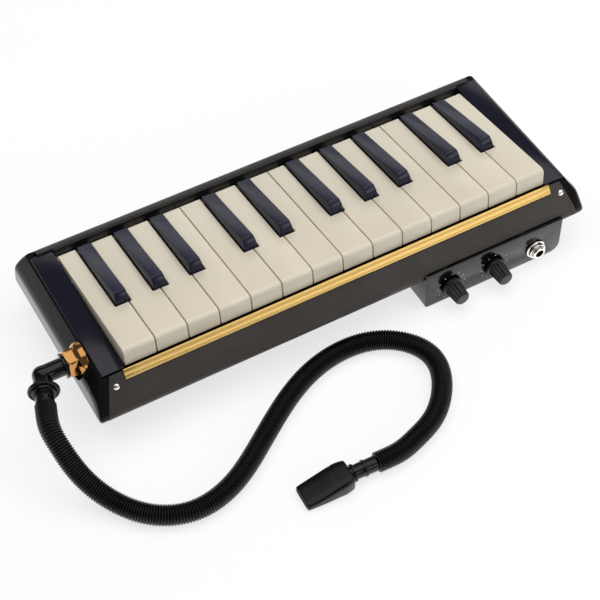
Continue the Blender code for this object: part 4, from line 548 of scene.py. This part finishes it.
def hosePiece(line):
    # radius = valley + (crest - valley) * (0.5 - 0.5 cos 2 pi phase)^sharpness, shut through the bore
    look = hoseSizes
    run = lengths(line)
    phase = np.linspace(0, 1, look["ringsPerRib"], endpoint=False)
    crest = np.clip(0.5 - 0.5 * np.cos(2 * math.pi * phase), 0, 1) ** look["sharpness"]
    ribs = (np.arange(look["ribs"])[:, None] + phase[None]).reshape(-1) * run[-1] / look["ribs"]
    ribRadii = np.tile(look["valley"] + (look["radius"] - look["valley"]) * crest, look["ribs"])
    stations = np.concatenate([ribs, [run[-1]], np.linspace(run[-1], 0, look["boreRings"])])
    radii = np.concatenate([ribRadii, [look["valley"]], np.full(look["boreRings"], look["bore"])])
    points = along(line, run, stations)
    ahead = along(line, run, np.minimum(stations + 1.5 * mm, run[-1]))
    way = ahead - along(line, run, np.maximum(stations - 1.5 * mm, 0))
    way /= np.linalg.norm(way, axis=1)[:, None]
    level = np.cross([0, 0, 1.0], way)
    level /= np.linalg.norm(level, axis=1)[:, None]
    upward = np.cross(way, level)
    angles = 2 * math.pi * np.arange(look["sides"]) / look["sides"]
    spokes = np.cos(angles)[None, :, None] * level[:, None] + np.sin(angles)[None, :, None] * upward[:, None]
    verts = points[:, None] + radii[:, None, None] * spokes
    faces = grid(len(stations), look["sides"], wrapRows=True, wrapCols=True)
    return make("hose_ribbed", verts.reshape(-1, 3), faces, "hose", "blowing_hose",
                replaced=["hose"], slot="hose_rubber", sharp=70)


hoseStart, hoseLine = hoseMiddle()
hose = hosePiece(hoseLine)


elbowSizes = {
    "plug": [
        (0, 6.1), (13.9, 6.1), (14.0, 8.5), (15.5, 8.5), (15.6, 6.0), (16.8, 6.0), (16.9, 4.2), (27.5, 4.2)],
    "leg": [(0, 6.1), (7.6, 6.1), (7.7, 7.0), (11.0, 7.0), (11.2, 6.6)],
    "ball": 6.4, "bore": 3.4, "plugEnd": 29, "legEnd": 13, "edge": 0.3}


def elbowPiece():
    # two tubes joined at a ball of radius 6.4 on the corner, bored along both
    size, centre = elbowSizes, corner / mm
    turns = np.linspace(0, math.pi, 33)
    globe = [(-size["ball"] * math.cos(t), max(size["ball"] * math.sin(t), 0.05)) for t in turns]
    plug = closedTurn(centre, (1, 0, 0), rounded(size["plug"], size["edge"], 3), 72)
    leg = closedTurn(centre, elbowWay, rounded(size["leg"], size["edge"], 3), 72)
    borePlug = closedTurn(centre, (1, 0, 0), [(-1, size["bore"]), (size["plugEnd"], size["bore"])], 40)
    boreLeg = closedTurn(centre, elbowWay, [(-1, size["bore"]), (size["legEnd"], size["bore"])], 40)
    verts, faces = applied("elbow", *plug, [
        boolean("UNION", closedTurn(centre, (1, 0, 0), globe, 64)), boolean("UNION", leg),
        boolean("DIFFERENCE", borePlug), boolean("DIFFERENCE", boreLeg), bevel(size["edge"], 3, 35)])
    return make("elbow_tube", verts, faces, "fitting", "blowing_hose", replaced=["elbow"],
                slot="fitting_black", sharp=40)


elbowPiece()

fittingSizes = {  # (distance along, radius) in millimetres
    "collar": [
        (11.5, 3.1), (11.5, 9.7), (12.0, 10.3), (13.3, 10.3), (13.9, 9.8), (13.9, 9.0), (13.3, 8.6),
        (13.3, 8.2), (14.4, 8.0), (15.2, 7.6), (15.2, 6.1), (18.4, 6.1), (18.4, 6.4), (19.2, 6.4),
        (19.2, 6.1), (22.4, 6.1), (23.0, 5.7), (23.0, 4.0), (32.0, 3.7), (32.0, 3.0), (11.5, 3.0)],
    "connector": [
        (-9, 2.6), (-9, 3.7), (0.3, 3.9), (0.3, 5.0), (0.9, 5.2), (8.0, 5.2), (8.0, 5.7), (9.6, 5.7),
        (9.6, 5.1), (15.8, 5.0), (15.8, 6.1), (17.4, 6.1), (17.4, 5.0), (19.0, 5.0), (19.0, 4.0),
        (28, 3.8), (28, 2.6), (-9, 2.6)]}
mmTurned("hose_collar_turned", corner / mm, elbowWay, fittingSizes["collar"], "fitting", "blowing_hose",
         replaced=["hose_collar"], slot="fitting_black")
connector = mmTurned("hose_connector_turned", endPoint / mm, endWay, fittingSizes["connector"], "fitting",
                     "blowing_hose", replaced=["hose_connector"], slot="fitting_black")


mouthSizes = {
    "sides": 72, "stretch": 1.07, "offset": 19.3,
    "sections": [  # distance along, width, lower and upper height, power
        (0.2, 15.0, 2.0, 13.1, 0.45), (0.0, 16.2, 1.6, 13.5, 0.42), (0.2, 17.0, 1.2, 13.8, 0.4),
        (0.8, 17.6, 0.9, 14.0, 0.4), (2.0, 18.3, 0.6, 14.0, 0.4), (4.0, 19.2, 0.4, 13.8, 0.4),
        (7.0, 19.9, 0.3, 13.3, 0.4), (9.0, 19.7, 0.3, 12.7, 0.42), (9.5, 19.7, 0.3, 12.45, 0.42),
        (10.0, 19.7, 0.3, 12.5, 0.42), (13.0, 19.6, 0.3, 11.5, 0.42), (16.0, 19.5, 0.3, 10.4, 0.42),
        (20.0, 19.2, 0.3, 9.0, 0.42), (24.0, 18.8, 0.3, 7.8, 0.43), (28.0, 18.2, 0.3, 6.7, 0.45),
        (30.0, 17.8, 0.3, 6.25, 0.48), (30.7, 17.4, 0.4, 6.0, 0.5), (31.0, 16.8, 0.7, 5.7, 0.5),
        (31.0, 14.6, 1.7, 4.6, 0.35), (30.4, 14.0, 2.0, 4.3, 0.35), (24.0, 12.5, 3.0, 6.5, 0.4),
        (16.0, 9.0, 4.2, 9.4, 0.6), (12.0, 6.0, 5.0, 9.2, 0.8)]}


def mouthpiece():
    # sections across = w/2 sgn(cos)|cos|^p, height = middle + half sgn(sin)|sin|^p; the slot turns inward
    sides = mouthSizes["sides"]
    s, width, low, high, power = np.array(mouthSizes["sections"]).T[:, :, None]
    angles = 2 * math.pi * (np.arange(sides) + 0.5) / sides
    c, d = np.cos(angles), np.sin(angles)
    across = width / 2 * np.sign(c) * np.abs(c) ** power
    height = (high + low) / 2 + (high - low) / 2 * np.sign(d) * np.abs(d) ** power
    level = np.cross(endWay, [0, 0, 1.0])
    origin = endPoint + endWay * mouthSizes["offset"] * mm
    way = endWay * mouthSizes["stretch"] * mm
    verts = origin + s[..., None] * way + across[..., None] * mm * level
    verts[..., 2] = height * mm
    faces = grid(len(s), sides, wrapCols=True) + lids(len(s), sides)
    return make("mouthpiece_lips", verts.reshape(-1, 3), faces, "mouth", "blowing_hose",
                replaced=["mouthpiece"], slot="fitting_black", sharp=50)


mouth = mouthpiece()


shell = {  # millimetres in the design's own frame
    "top": 53, "waist": 29, "bottom": 6,
    "halfLength": 174, "flare": 9.4, "flarePower": 0.85, "tuckIn": 13,
    "frontWaist": -17, "frontRise": 13.7, "frontSwell": 0.4, "frontTop": 52.2, "faceEnd": 31.4,
    "tuckPower": 2 / 1.14, "tuckDeep": 19, "tuckDrop": (2.4, 20.1),
    "back": 108.8, "backBulge": 12, "backWaist": 27, "backRise": 27.2, "backEnd": 110.5}


def outerX(z):
    # half length: 174 + 9.4*((53 - z)/24)^0.85 above the waist, less 13*(1 - sqrt(1 - part^2)) below it
    waist = shell["waist"]
    if z >= waist:
        part = min(max((shell["top"] - z) / (shell["top"] - waist), 0.0), 1.0)
        return shell["halfLength"] + shell["flare"] * part ** shell["flarePower"]
    part = min((waist - z) / (waist - shell["bottom"]), 1.0)
    return shell["halfLength"] + shell["flare"] - shell["tuckIn"] * (1 - math.sqrt(max(1 - part * part, 0.0)))


def frontY(z):
    # front face: y = -17 + 13.7*part - 4*0.4*part*(1 - part), part = (z - 29)/23.2
    part = (z - shell["waist"]) / (shell["frontTop"] - shell["waist"])
    return shell["frontWaist"] + shell["frontRise"] * part - 4 * shell["frontSwell"] * part * (1 - part)


def bend(start, corner, end, steps):
    # quadratic Bezier from start round a corner to end, without its ends
    t = np.linspace(0, 1, steps + 2)[1:-1, None]
    points = (1 - t) ** 2 * np.array(start) + 2 * t * (1 - t) * np.array(corner) + t ** 2 * np.array(end)
    return [tuple(point) for point in points]


def frontCurve(steps, lowSteps, top=shell["frontTop"]):
    # sloping face, short bend, tuck y = 2 - 19 cos^1.75 a, z = 29 - 23 sin^1.75 a, bend to the bottom
    power, waist, bottom = shell["tuckPower"], shell["waist"], shell["bottom"]
    drop = waist - bottom
    face = [(frontY(z), z) for z in np.linspace(top, shell["faceEnd"], steps + 1)]
    first, last = (math.asin((fall / drop) ** (1 / power)) for fall in shell["tuckDrop"])
    under = [(shell["frontWaist"] + shell["tuckDeep"] * (1 - math.cos(a) ** power),
              waist - drop * math.sin(a) ** power) for a in np.linspace(first, last, lowSteps + 1)]
    flat = (5.5, float(bottom))
    return (face + bend(face[-1], (float(shell["frontWaist"]), float(waist)), under[0], 8) + under
            + bend(under[-1], (1.55, float(bottom)), flat, 6) + [flat])


def backCurve(steps, lowSteps):
    # quarter ellipse 20.8 x 21 under, superellipse y = 108.8 + 12 cos^(2/3), z = 27 + 27.2 sin^(2/3) above
    middle, waist = shell["back"], shell["backWaist"]
    low = math.pi / 2 * (1 - np.arange(lowSteps) / lowSteps)
    last = math.acos(((shell["backEnd"] - middle) / shell["backBulge"]) ** 1.5)
    high = last * np.arange(steps + 1) / steps
    points = [(100 + 20.8 * math.cos(a), waist - 21 * math.sin(a)) for a in low]
    return points + [(middle + shell["backBulge"] * math.cos(a) ** (2 / 3),
                      waist + shell["backRise"] * math.sin(a) ** (2 / 3)) for a in high]


coverSizes = {
    "sheet": 1.5, "inset": 5.3, "middle": (55.0, 30.0),
    "columns": [-150, -100, -50, 0, 54.2, 80, 110, 140, 155],
    "boxHole": ((54.2, -60, -10), (164.8, 45.3, 31.6))}


def cover(name, path, node, hole=None):
    # bent sheet: outer path and the same path 1.5 mm along its inward normals, closed, carried along x
    outer = np.array(path, float)
    way = np.gradient(outer, axis=0)
    way /= np.linalg.norm(way, axis=1)[:, None]
    inward = np.stack([-way[:, 1], way[:, 0]], axis=1)
    if np.sum((np.array(coverSizes["middle"]) - outer[0]) * inward[0]) < 0:
        inward = -inward
    inner = outer + coverSizes["sheet"] * inward
    ends = np.array([outerX(z) - coverSizes["inset"] for y, z in path])
    loop = np.concatenate([outer, inner[::-1]])
    ends = np.concatenate([ends, ends[::-1]])
    rows, width = len(loop), len(coverSizes["columns"]) + 2
    xs = np.tile([-1.0] + coverSizes["columns"] + [1.0], (rows, 1))
    xs[:, 0], xs[:, -1] = -ends, ends
    ys, zs = np.tile(loop[:, :1], (1, width)), np.tile(loop[:, 1:], (1, width))
    verts = np.stack([xs, ys, zs], axis=2).reshape(-1, 3) * mm
    faces = grid(rows, width, wrapRows=True)
    for c in (0, width - 1):
        faces += [tuple(k * width + c for k in (i, i + 1, rows - 2 - i, rows - 1 - i))
                  for i in range(rows // 2 - 1)]
    steps = [boolean("DIFFERENCE", boxPoints(*hole))] if hole else []
    verts, faces = applied(name, verts, outward(verts, faces), steps + [bevel(0.25, 2, 50)])
    return make(name, verts, faces, "leather", "instrument", replaced=[node], slot="leatherette", sharp=35)


cover("front_cover_bent", frontCurve(36, 16) + [(11, 6), (16, 6), (20, 6)], "front_cover",
      coverSizes["boxHole"])
cover("bottom_cover_bent", [(20.3, 6), (40, 6), (60, 6), (85.7, 6)], "bottom_cover",
      coverSizes["boxHole"])
cover("rear_cover_bent", [(86, 6), (93, 6)] + backCurve(36, 20), "rear_cover")


capSizes = {
    "rows": 64, "rise": 45.2, "thickness": 5, "edge": 1.8, "backLimit": 120.8, "frontFade": 7,
    "heights": [29, 38.5, 40.2, 41.5, 43, 53], "reach": [184.1, 183.35, 183.05, 182.55, 181.7, 174],
    "nutBore": [(0, 12.3), (55, 12.3), (55, 6.8), (75, 6.8)], "drainBore": [(0, 4.3), (40, 4.3)]}


def capX(z):
    # straight lines through the reach table; under the waist outerX(z) + 0.7 * (z - 20) / 9
    if z < shell["waist"]:
        return outerX(z) + 0.7 * max((z - 20) / 9, 0.0)
    return float(np.interp(z, capSizes["heights"], capSizes["reach"]))


def endCap(side, name, node):
    # rows over height; edge drop = e - sqrt(e^2 - (e - distance)^2), e = 1.8, plus a fade at the front
    size, bottom = capSizes, shell["bottom"]
    z = bottom + size["rise"] * (np.arange(size["rows"] + 1) / size["rows"])
    front = np.array(frontCurve(200, 200, top=bottom + size["rise"]))[::-1]
    back = np.array(backCurve(200, 200))
    y0 = np.interp(z, front[:, 1], front[:, 0])[:, None]
    y1 = np.where(z > bottom, np.interp(z, back[:, 1], back[:, 0]), 100.0)
    y1 = np.minimum(y1, size["backLimit"])[:, None]
    reach = np.array([capX(h) for h in z])[:, None]
    wall = np.array([outerX(h) for h in z])[:, None]
    shares = np.concatenate([np.linspace(0, 0.03, 7), np.linspace(0.05, 0.95, 24), np.linspace(0.97, 1, 7)])
    y = y0 + (y1 - y0) * shares
    edge = np.minimum(np.minimum(y - y0, y1 - y), (z[:, None] - bottom) * 1.3 + 0.6)
    drop = size["edge"] - np.sqrt(np.maximum(size["edge"] ** 2 - np.maximum(size["edge"] - edge, 0) ** 2, 0))
    drop += 0.6 * (reach - wall) * np.maximum(1 - (y - y0) / size["frontFade"], 0.0) ** 2
    high = np.broadcast_to(z[:, None], y.shape)
    outer = np.stack([side * (reach - drop), y, high], axis=2).reshape(-1, 3)
    inside = np.broadcast_to(side * (wall - size["thickness"]), y.shape)
    inner = np.stack([inside, y, high], axis=2).reshape(-1, 3)
    verts = np.concatenate([outer, inner]) * mm
    rows, width = y.shape
    count = rows * width
    faces = grid(rows, width) + [tuple(reversed(f)) for f in grid(rows, width, offset=count)]
    rims = [(r * width + c, (r + 1) * width + c) for r in range(rows - 1) for c in (0, width - 1)]
    rims += [(r * width + c, r * width + c + 1) for c in range(width - 1) for r in (0, rows - 1)]
    faces += [(a, b, b + count, a + count) for a, b in rims]
    if side < 0:
        tool = closedTurn((-230, 24, 45), (1, 0, 0), size["nutBore"], 96)
    else:
        tool = closedTurn((160, 85, 24), (1, 0, 0), size["drainBore"], 64)
    verts, faces = applied(name, verts, outward(verts, faces), [boolean("DIFFERENCE", tool)])
    return make(name, verts, faces, "capGloss", "instrument", replaced=[node], slot="gloss_black", sharp=35)


endCap(-1, "left_cap_moulded", "left_end_cap")
endCap(1, "right_cap_moulded", "right_end_cap")
for node in ("left_cheek", "right_cheek"):
    soften(node, "navy", width=0.5 * mm)
soften("rear_rail", "railBlack", width=0.25 * mm)
soften("front_foot", "foot", width=0.8 * mm)
soften("rear_foot", "foot", width=0.8 * mm)


trimSizes = {
    "top": 53.2, "bottom": 47.4, "half": 160, "base": 0.3, "endShrink": 0.93, "slopeFrom": 52.6,
    "lifts": [  # share of the height, lift off the face
        (0.0, 0.35), (0.02, 0.7), (0.06, 0.93), (0.12, 1.0), (0.40, 1.0), (0.44, 0.93), (0.47, 0.72),
        (0.5, 0.66), (0.53, 0.72), (0.56, 0.93), (0.60, 1.0), (0.88, 1.0), (0.94, 0.93), (0.98, 0.7),
        (1.0, 0.35)]}


def trimBar():
    # strip on the front face: point = face point + normal * (0.3 + lift), carried along x
    size = trimSizes
    share, lift = np.array(size["lifts"]).T
    z = size["top"] + (size["bottom"] - size["top"]) * share
    face = np.stack([frontY(z), z], axis=1)
    rise, lean = size["slopeFrom"] - size["bottom"], frontY(size["slopeFrom"]) - frontY(size["bottom"])
    normal = np.array([-rise, abs(lean)])
    normal /= np.linalg.norm(normal)
    inner = face + normal * size["base"]
    section = np.concatenate([face + normal * (size["base"] + lift)[:, None], inner[::-1]])
    half = size["half"]
    xs = np.array([-half, 0.2 - half] + list(np.linspace(-150, 150, 31)) + [half - 0.2, half])
    shrink = np.ones(len(xs))
    shrink[[0, -1]] = size["endShrink"]
    centre = section.mean(axis=0)
    sides = centre + (section - centre) * shrink[:, None, None]
    across = np.broadcast_to(xs[:, None, None], sides.shape[:2] + (1,))
    verts = np.concatenate([across, sides], axis=2).reshape(-1, 3) * mm
    faces = grid(len(xs), len(section), wrapCols=True) + lids(len(xs), len(section))
    return make("trim_bar_grooved", verts, faces, "gilt", "instrument", replaced=["trim_bar"],
                slot="gilt", sharp=45)


trimBar()


screwSizes = {"radius": 2.1, "height": 45.4, "normal": (0, -0.862, 0.507), "sides": 40,
              "places": {"front_screw_left": -167.1, "front_screw_right": 168.4}}


def screw(name, x):
    # a pan head turned about the face's normal, with a slot 0.56 mm wide cut across it
    radius, z, sides = screwSizes["radius"], screwSizes["height"], screwSizes["sides"]
    normal = Vector(screwSizes["normal"]).normalized()
    spot = np.array((x, frontY(z), z)) * mm
    head = [(-1.2, radius * 0.6), (0.0, radius), (0.25, radius), (0.55, radius * 0.86), (0.75, radius * 0.5),
            (0.8, 0.02)]
    verts = turnedPoints(spot, normal, [(s * mm, r * mm) for s, r in head], sides)
    faces = grid(len(head), sides, wrapCols=True) + lids(len(head), sides)
    level, upward = sideAxes(normal)
    slotBox = [spot + np.array(level * a + upward * b + normal * c) * mm
               for a in (-3, 3) for b in (-0.28, 0.28) for c in (0.35, 2)]
    verts, faces = applied(name, verts, faces, [boolean("DIFFERENCE", (slotBox, boxFaces))])
    return make(name, verts, faces, "nickel", "instrument", slot="nickel", sharp=30)


for name, x in screwSizes["places"].items():
    screw(name, x)
print("shell")


nutSizes = {
    "flats": 17.6, "lean": 9, "centre": (24.3, 45), "ends": (-188, -179.5), "axis": (0, 24, 45), "bore": 4.5,
    "chamfer": [(-188, 8.5), (-186.6, 10.2), (-179.6, 10.4), (-179.4, 10.4)],
    "collar": [
        (-182.2, 4.6), (-182.2, 7.6), (-181.4, 9.2), (-180.2, 10.5), (-178.9, 11.3), (-177.2, 11.8),
        (-175.3, 11.9), (-175.3, 6.5), (-168.6, 6.5), (-168.6, 4.6), (-182.2, 4.6)]}


def nut():
    # hexagon with corners at flats / 2 / cos 30 degrees, leaned, chamfered and bored, on a domed collar
    size = nutSizes
    y, z = size["centre"]
    corners = size["flats"] / 2 / math.cos(math.pi / 6)
    angles = math.pi / 3 * np.arange(1, 7) + math.radians(size["lean"])
    rim = np.stack([y + corners * np.cos(angles), z + corners * np.sin(angles)], axis=1)
    hexagon = np.concatenate([np.insert(rim, 0, end, axis=1) for end in size["ends"]]) * mm
    faces = [tuple(range(6)), tuple(range(11, 5, -1))]
    faces += [(i, i + 6, (i + 1) % 6 + 6, (i + 1) % 6) for i in range(6)]
    chamfer = closedTurn((0, y, z), (1, 0, 0), size["chamfer"], 128)
    boring = closedTurn(size["axis"], (1, 0, 0), [(-195, size["bore"]), (-160, size["bore"])], 64)
    verts, faces = applied("nut", hexagon, outward(hexagon, faces), [
        boolean("INTERSECT", chamfer), boolean("DIFFERENCE", boring), bevel(0.42, 3, 30)])
    mmTurned("socket_collar_turned", size["axis"], (1, 0, 0), size["collar"], "copperGold", "instrument",
             sides=96, slot="copper_gold")
    return make("socket_nut_cut", verts, faces, "copperGold", "instrument", replaced=["socket_nut"],
                slot="copper_gold", sharp=30)


nut()
print("nut")


keySizes = {"edge": 0.35 * mm, "segments": 3, "angle": 35,
            "black": ("ebony", "ebony_key"), "white": ("ivory", "ivory_key")}
for name in sorted(nodes):
    if name.startswith("key_") and name[4:6].isdigit():
        look, slot = keySizes["black" if name.endswith("sharp") else "white"]
        soften(name, look, width=keySizes["edge"], segments=keySizes["segments"], angle=keySizes["angle"],
               body=name)
print("keys")


soften("control_box", "panel", width=0.5 * mm, segments=3, angle=40)

knobSizes = {
    "places": {"volume_knob": 75, "balance_knob": 110}, "face": -19.0, "height": 13.3, "sides": 144,
    "flutes": 18, "depth": 0.5, "power": 0.6, "fluted": (2.9, 14.1),
    "profile": [
        (0, 3.3), (0, 7.75), (2.5, 7.75), (2.6, 6.4), (3.2, 6.25), (13.7, 5.3), (14.5, 4.4), (14.5, 0.02)]}


def knobFlute(angles, s):
    # depth * (0.5 - 0.5 cos 18 a)^0.6 between the skirt and the tip
    low, high = (end * mm for end in knobSizes["fluted"])
    depth = np.where((low < s) & (s < high), knobSizes["depth"] * mm, 0.0)
    return depth * (0.5 - 0.5 * np.cos(knobSizes["flutes"] * angles)) ** knobSizes["power"]


def knob(node, x):
    # a turned knob whose radius is cut back by its flutes
    points = [(s * mm, r * mm) for s, r in rounded(knobSizes["profile"], 0.4, 3)]
    spot = np.array((x, knobSizes["face"], knobSizes["height"])) * mm
    sides = knobSizes["sides"]
    verts = turnedPoints(spot, (0, -1, 0), points, sides, knobFlute)
    faces = grid(len(points), sides, wrapCols=True) + lids(len(points), sides)
    return make(node + "_ribbed", verts, faces, "knob", node, replaced=[node], slot="knob_black", sharp=40)


for node, x in knobSizes["places"].items():
    knob(node, x)

jackSizes = {"place": (143.5, -18.8, 12.5), "round": 0.35,
             "profile": [(0, 5.05), (0, 7.25), (1.0, 7.25), (1.0, 6.25), (3.5, 6.25), (3.5, 5.05), (0, 5.05)]}
mmTurned("jack_nut_turned", jackSizes["place"], (0, -1, 0), jackSizes["profile"], "nickel", "instrument",
         round=jackSizes["round"], replaced=["jack_nut"], slot="nickel")


markSizes = {"ring": 10.6, "count": 11, "first": -60, "step": 30, "radius": 0.42, "faces": (-18.56, -18.45),
             "sides": 20}


def dots():
    # flat discs on a ring about each knob: centre = knob + ring * (cos a, sin a)
    size, sides = markSizes, markSizes["sides"]
    angles = np.radians(size["first"] + size["step"] * np.arange(size["count"]))
    ring = size["ring"] * np.stack([np.cos(angles), np.sin(angles)], axis=1)
    middles = [(x, knobSizes["height"]) for x in knobSizes["places"].values()]
    centres = np.concatenate([ring + np.array(middle) for middle in middles])
    rounds = 2 * math.pi * np.arange(sides) / sides
    rim = size["radius"] * np.stack([np.cos(rounds), np.sin(rounds)], axis=1)
    flat = np.broadcast_to(centres[:, None, None] + rim, (len(centres), 2, sides, 2))
    deep = np.broadcast_to(np.array(size["faces"])[None, :, None], flat.shape[:3])
    verts = np.stack([flat[..., 0], deep, flat[..., 1]], axis=-1).reshape(-1, 3) * mm
    faces = []
    for first in range(0, len(verts), 2 * sides):
        faces += grid(2, sides, wrapCols=True, offset=first) + lids(2, sides, offset=first)
    return make("panel_marks", verts, faces, "dot", "instrument", slot="panel_black")


dots()
print("box")


carried = {  # solids shown as they are, with a look
    "chassis": "frame", "front_felt": "felt", "wind_chest": "chest", "chest_lid": "chest",
    "side_duct": "chest", "pivot_rail": "chest", "reed_plate_low": "brass", "reed_plate_high": "brass",
    "key_shaft": "steel", "key_springs": "steel", "drain_button": "fitting", "volume_pot": "nickel",
    "balance_pot": "nickel", "jack": "nickel", "circuit_board": "board"}
for name, look in carried.items():
    for place in nodes[name].material_slots:
        place.material = materials[look]
print("carried")
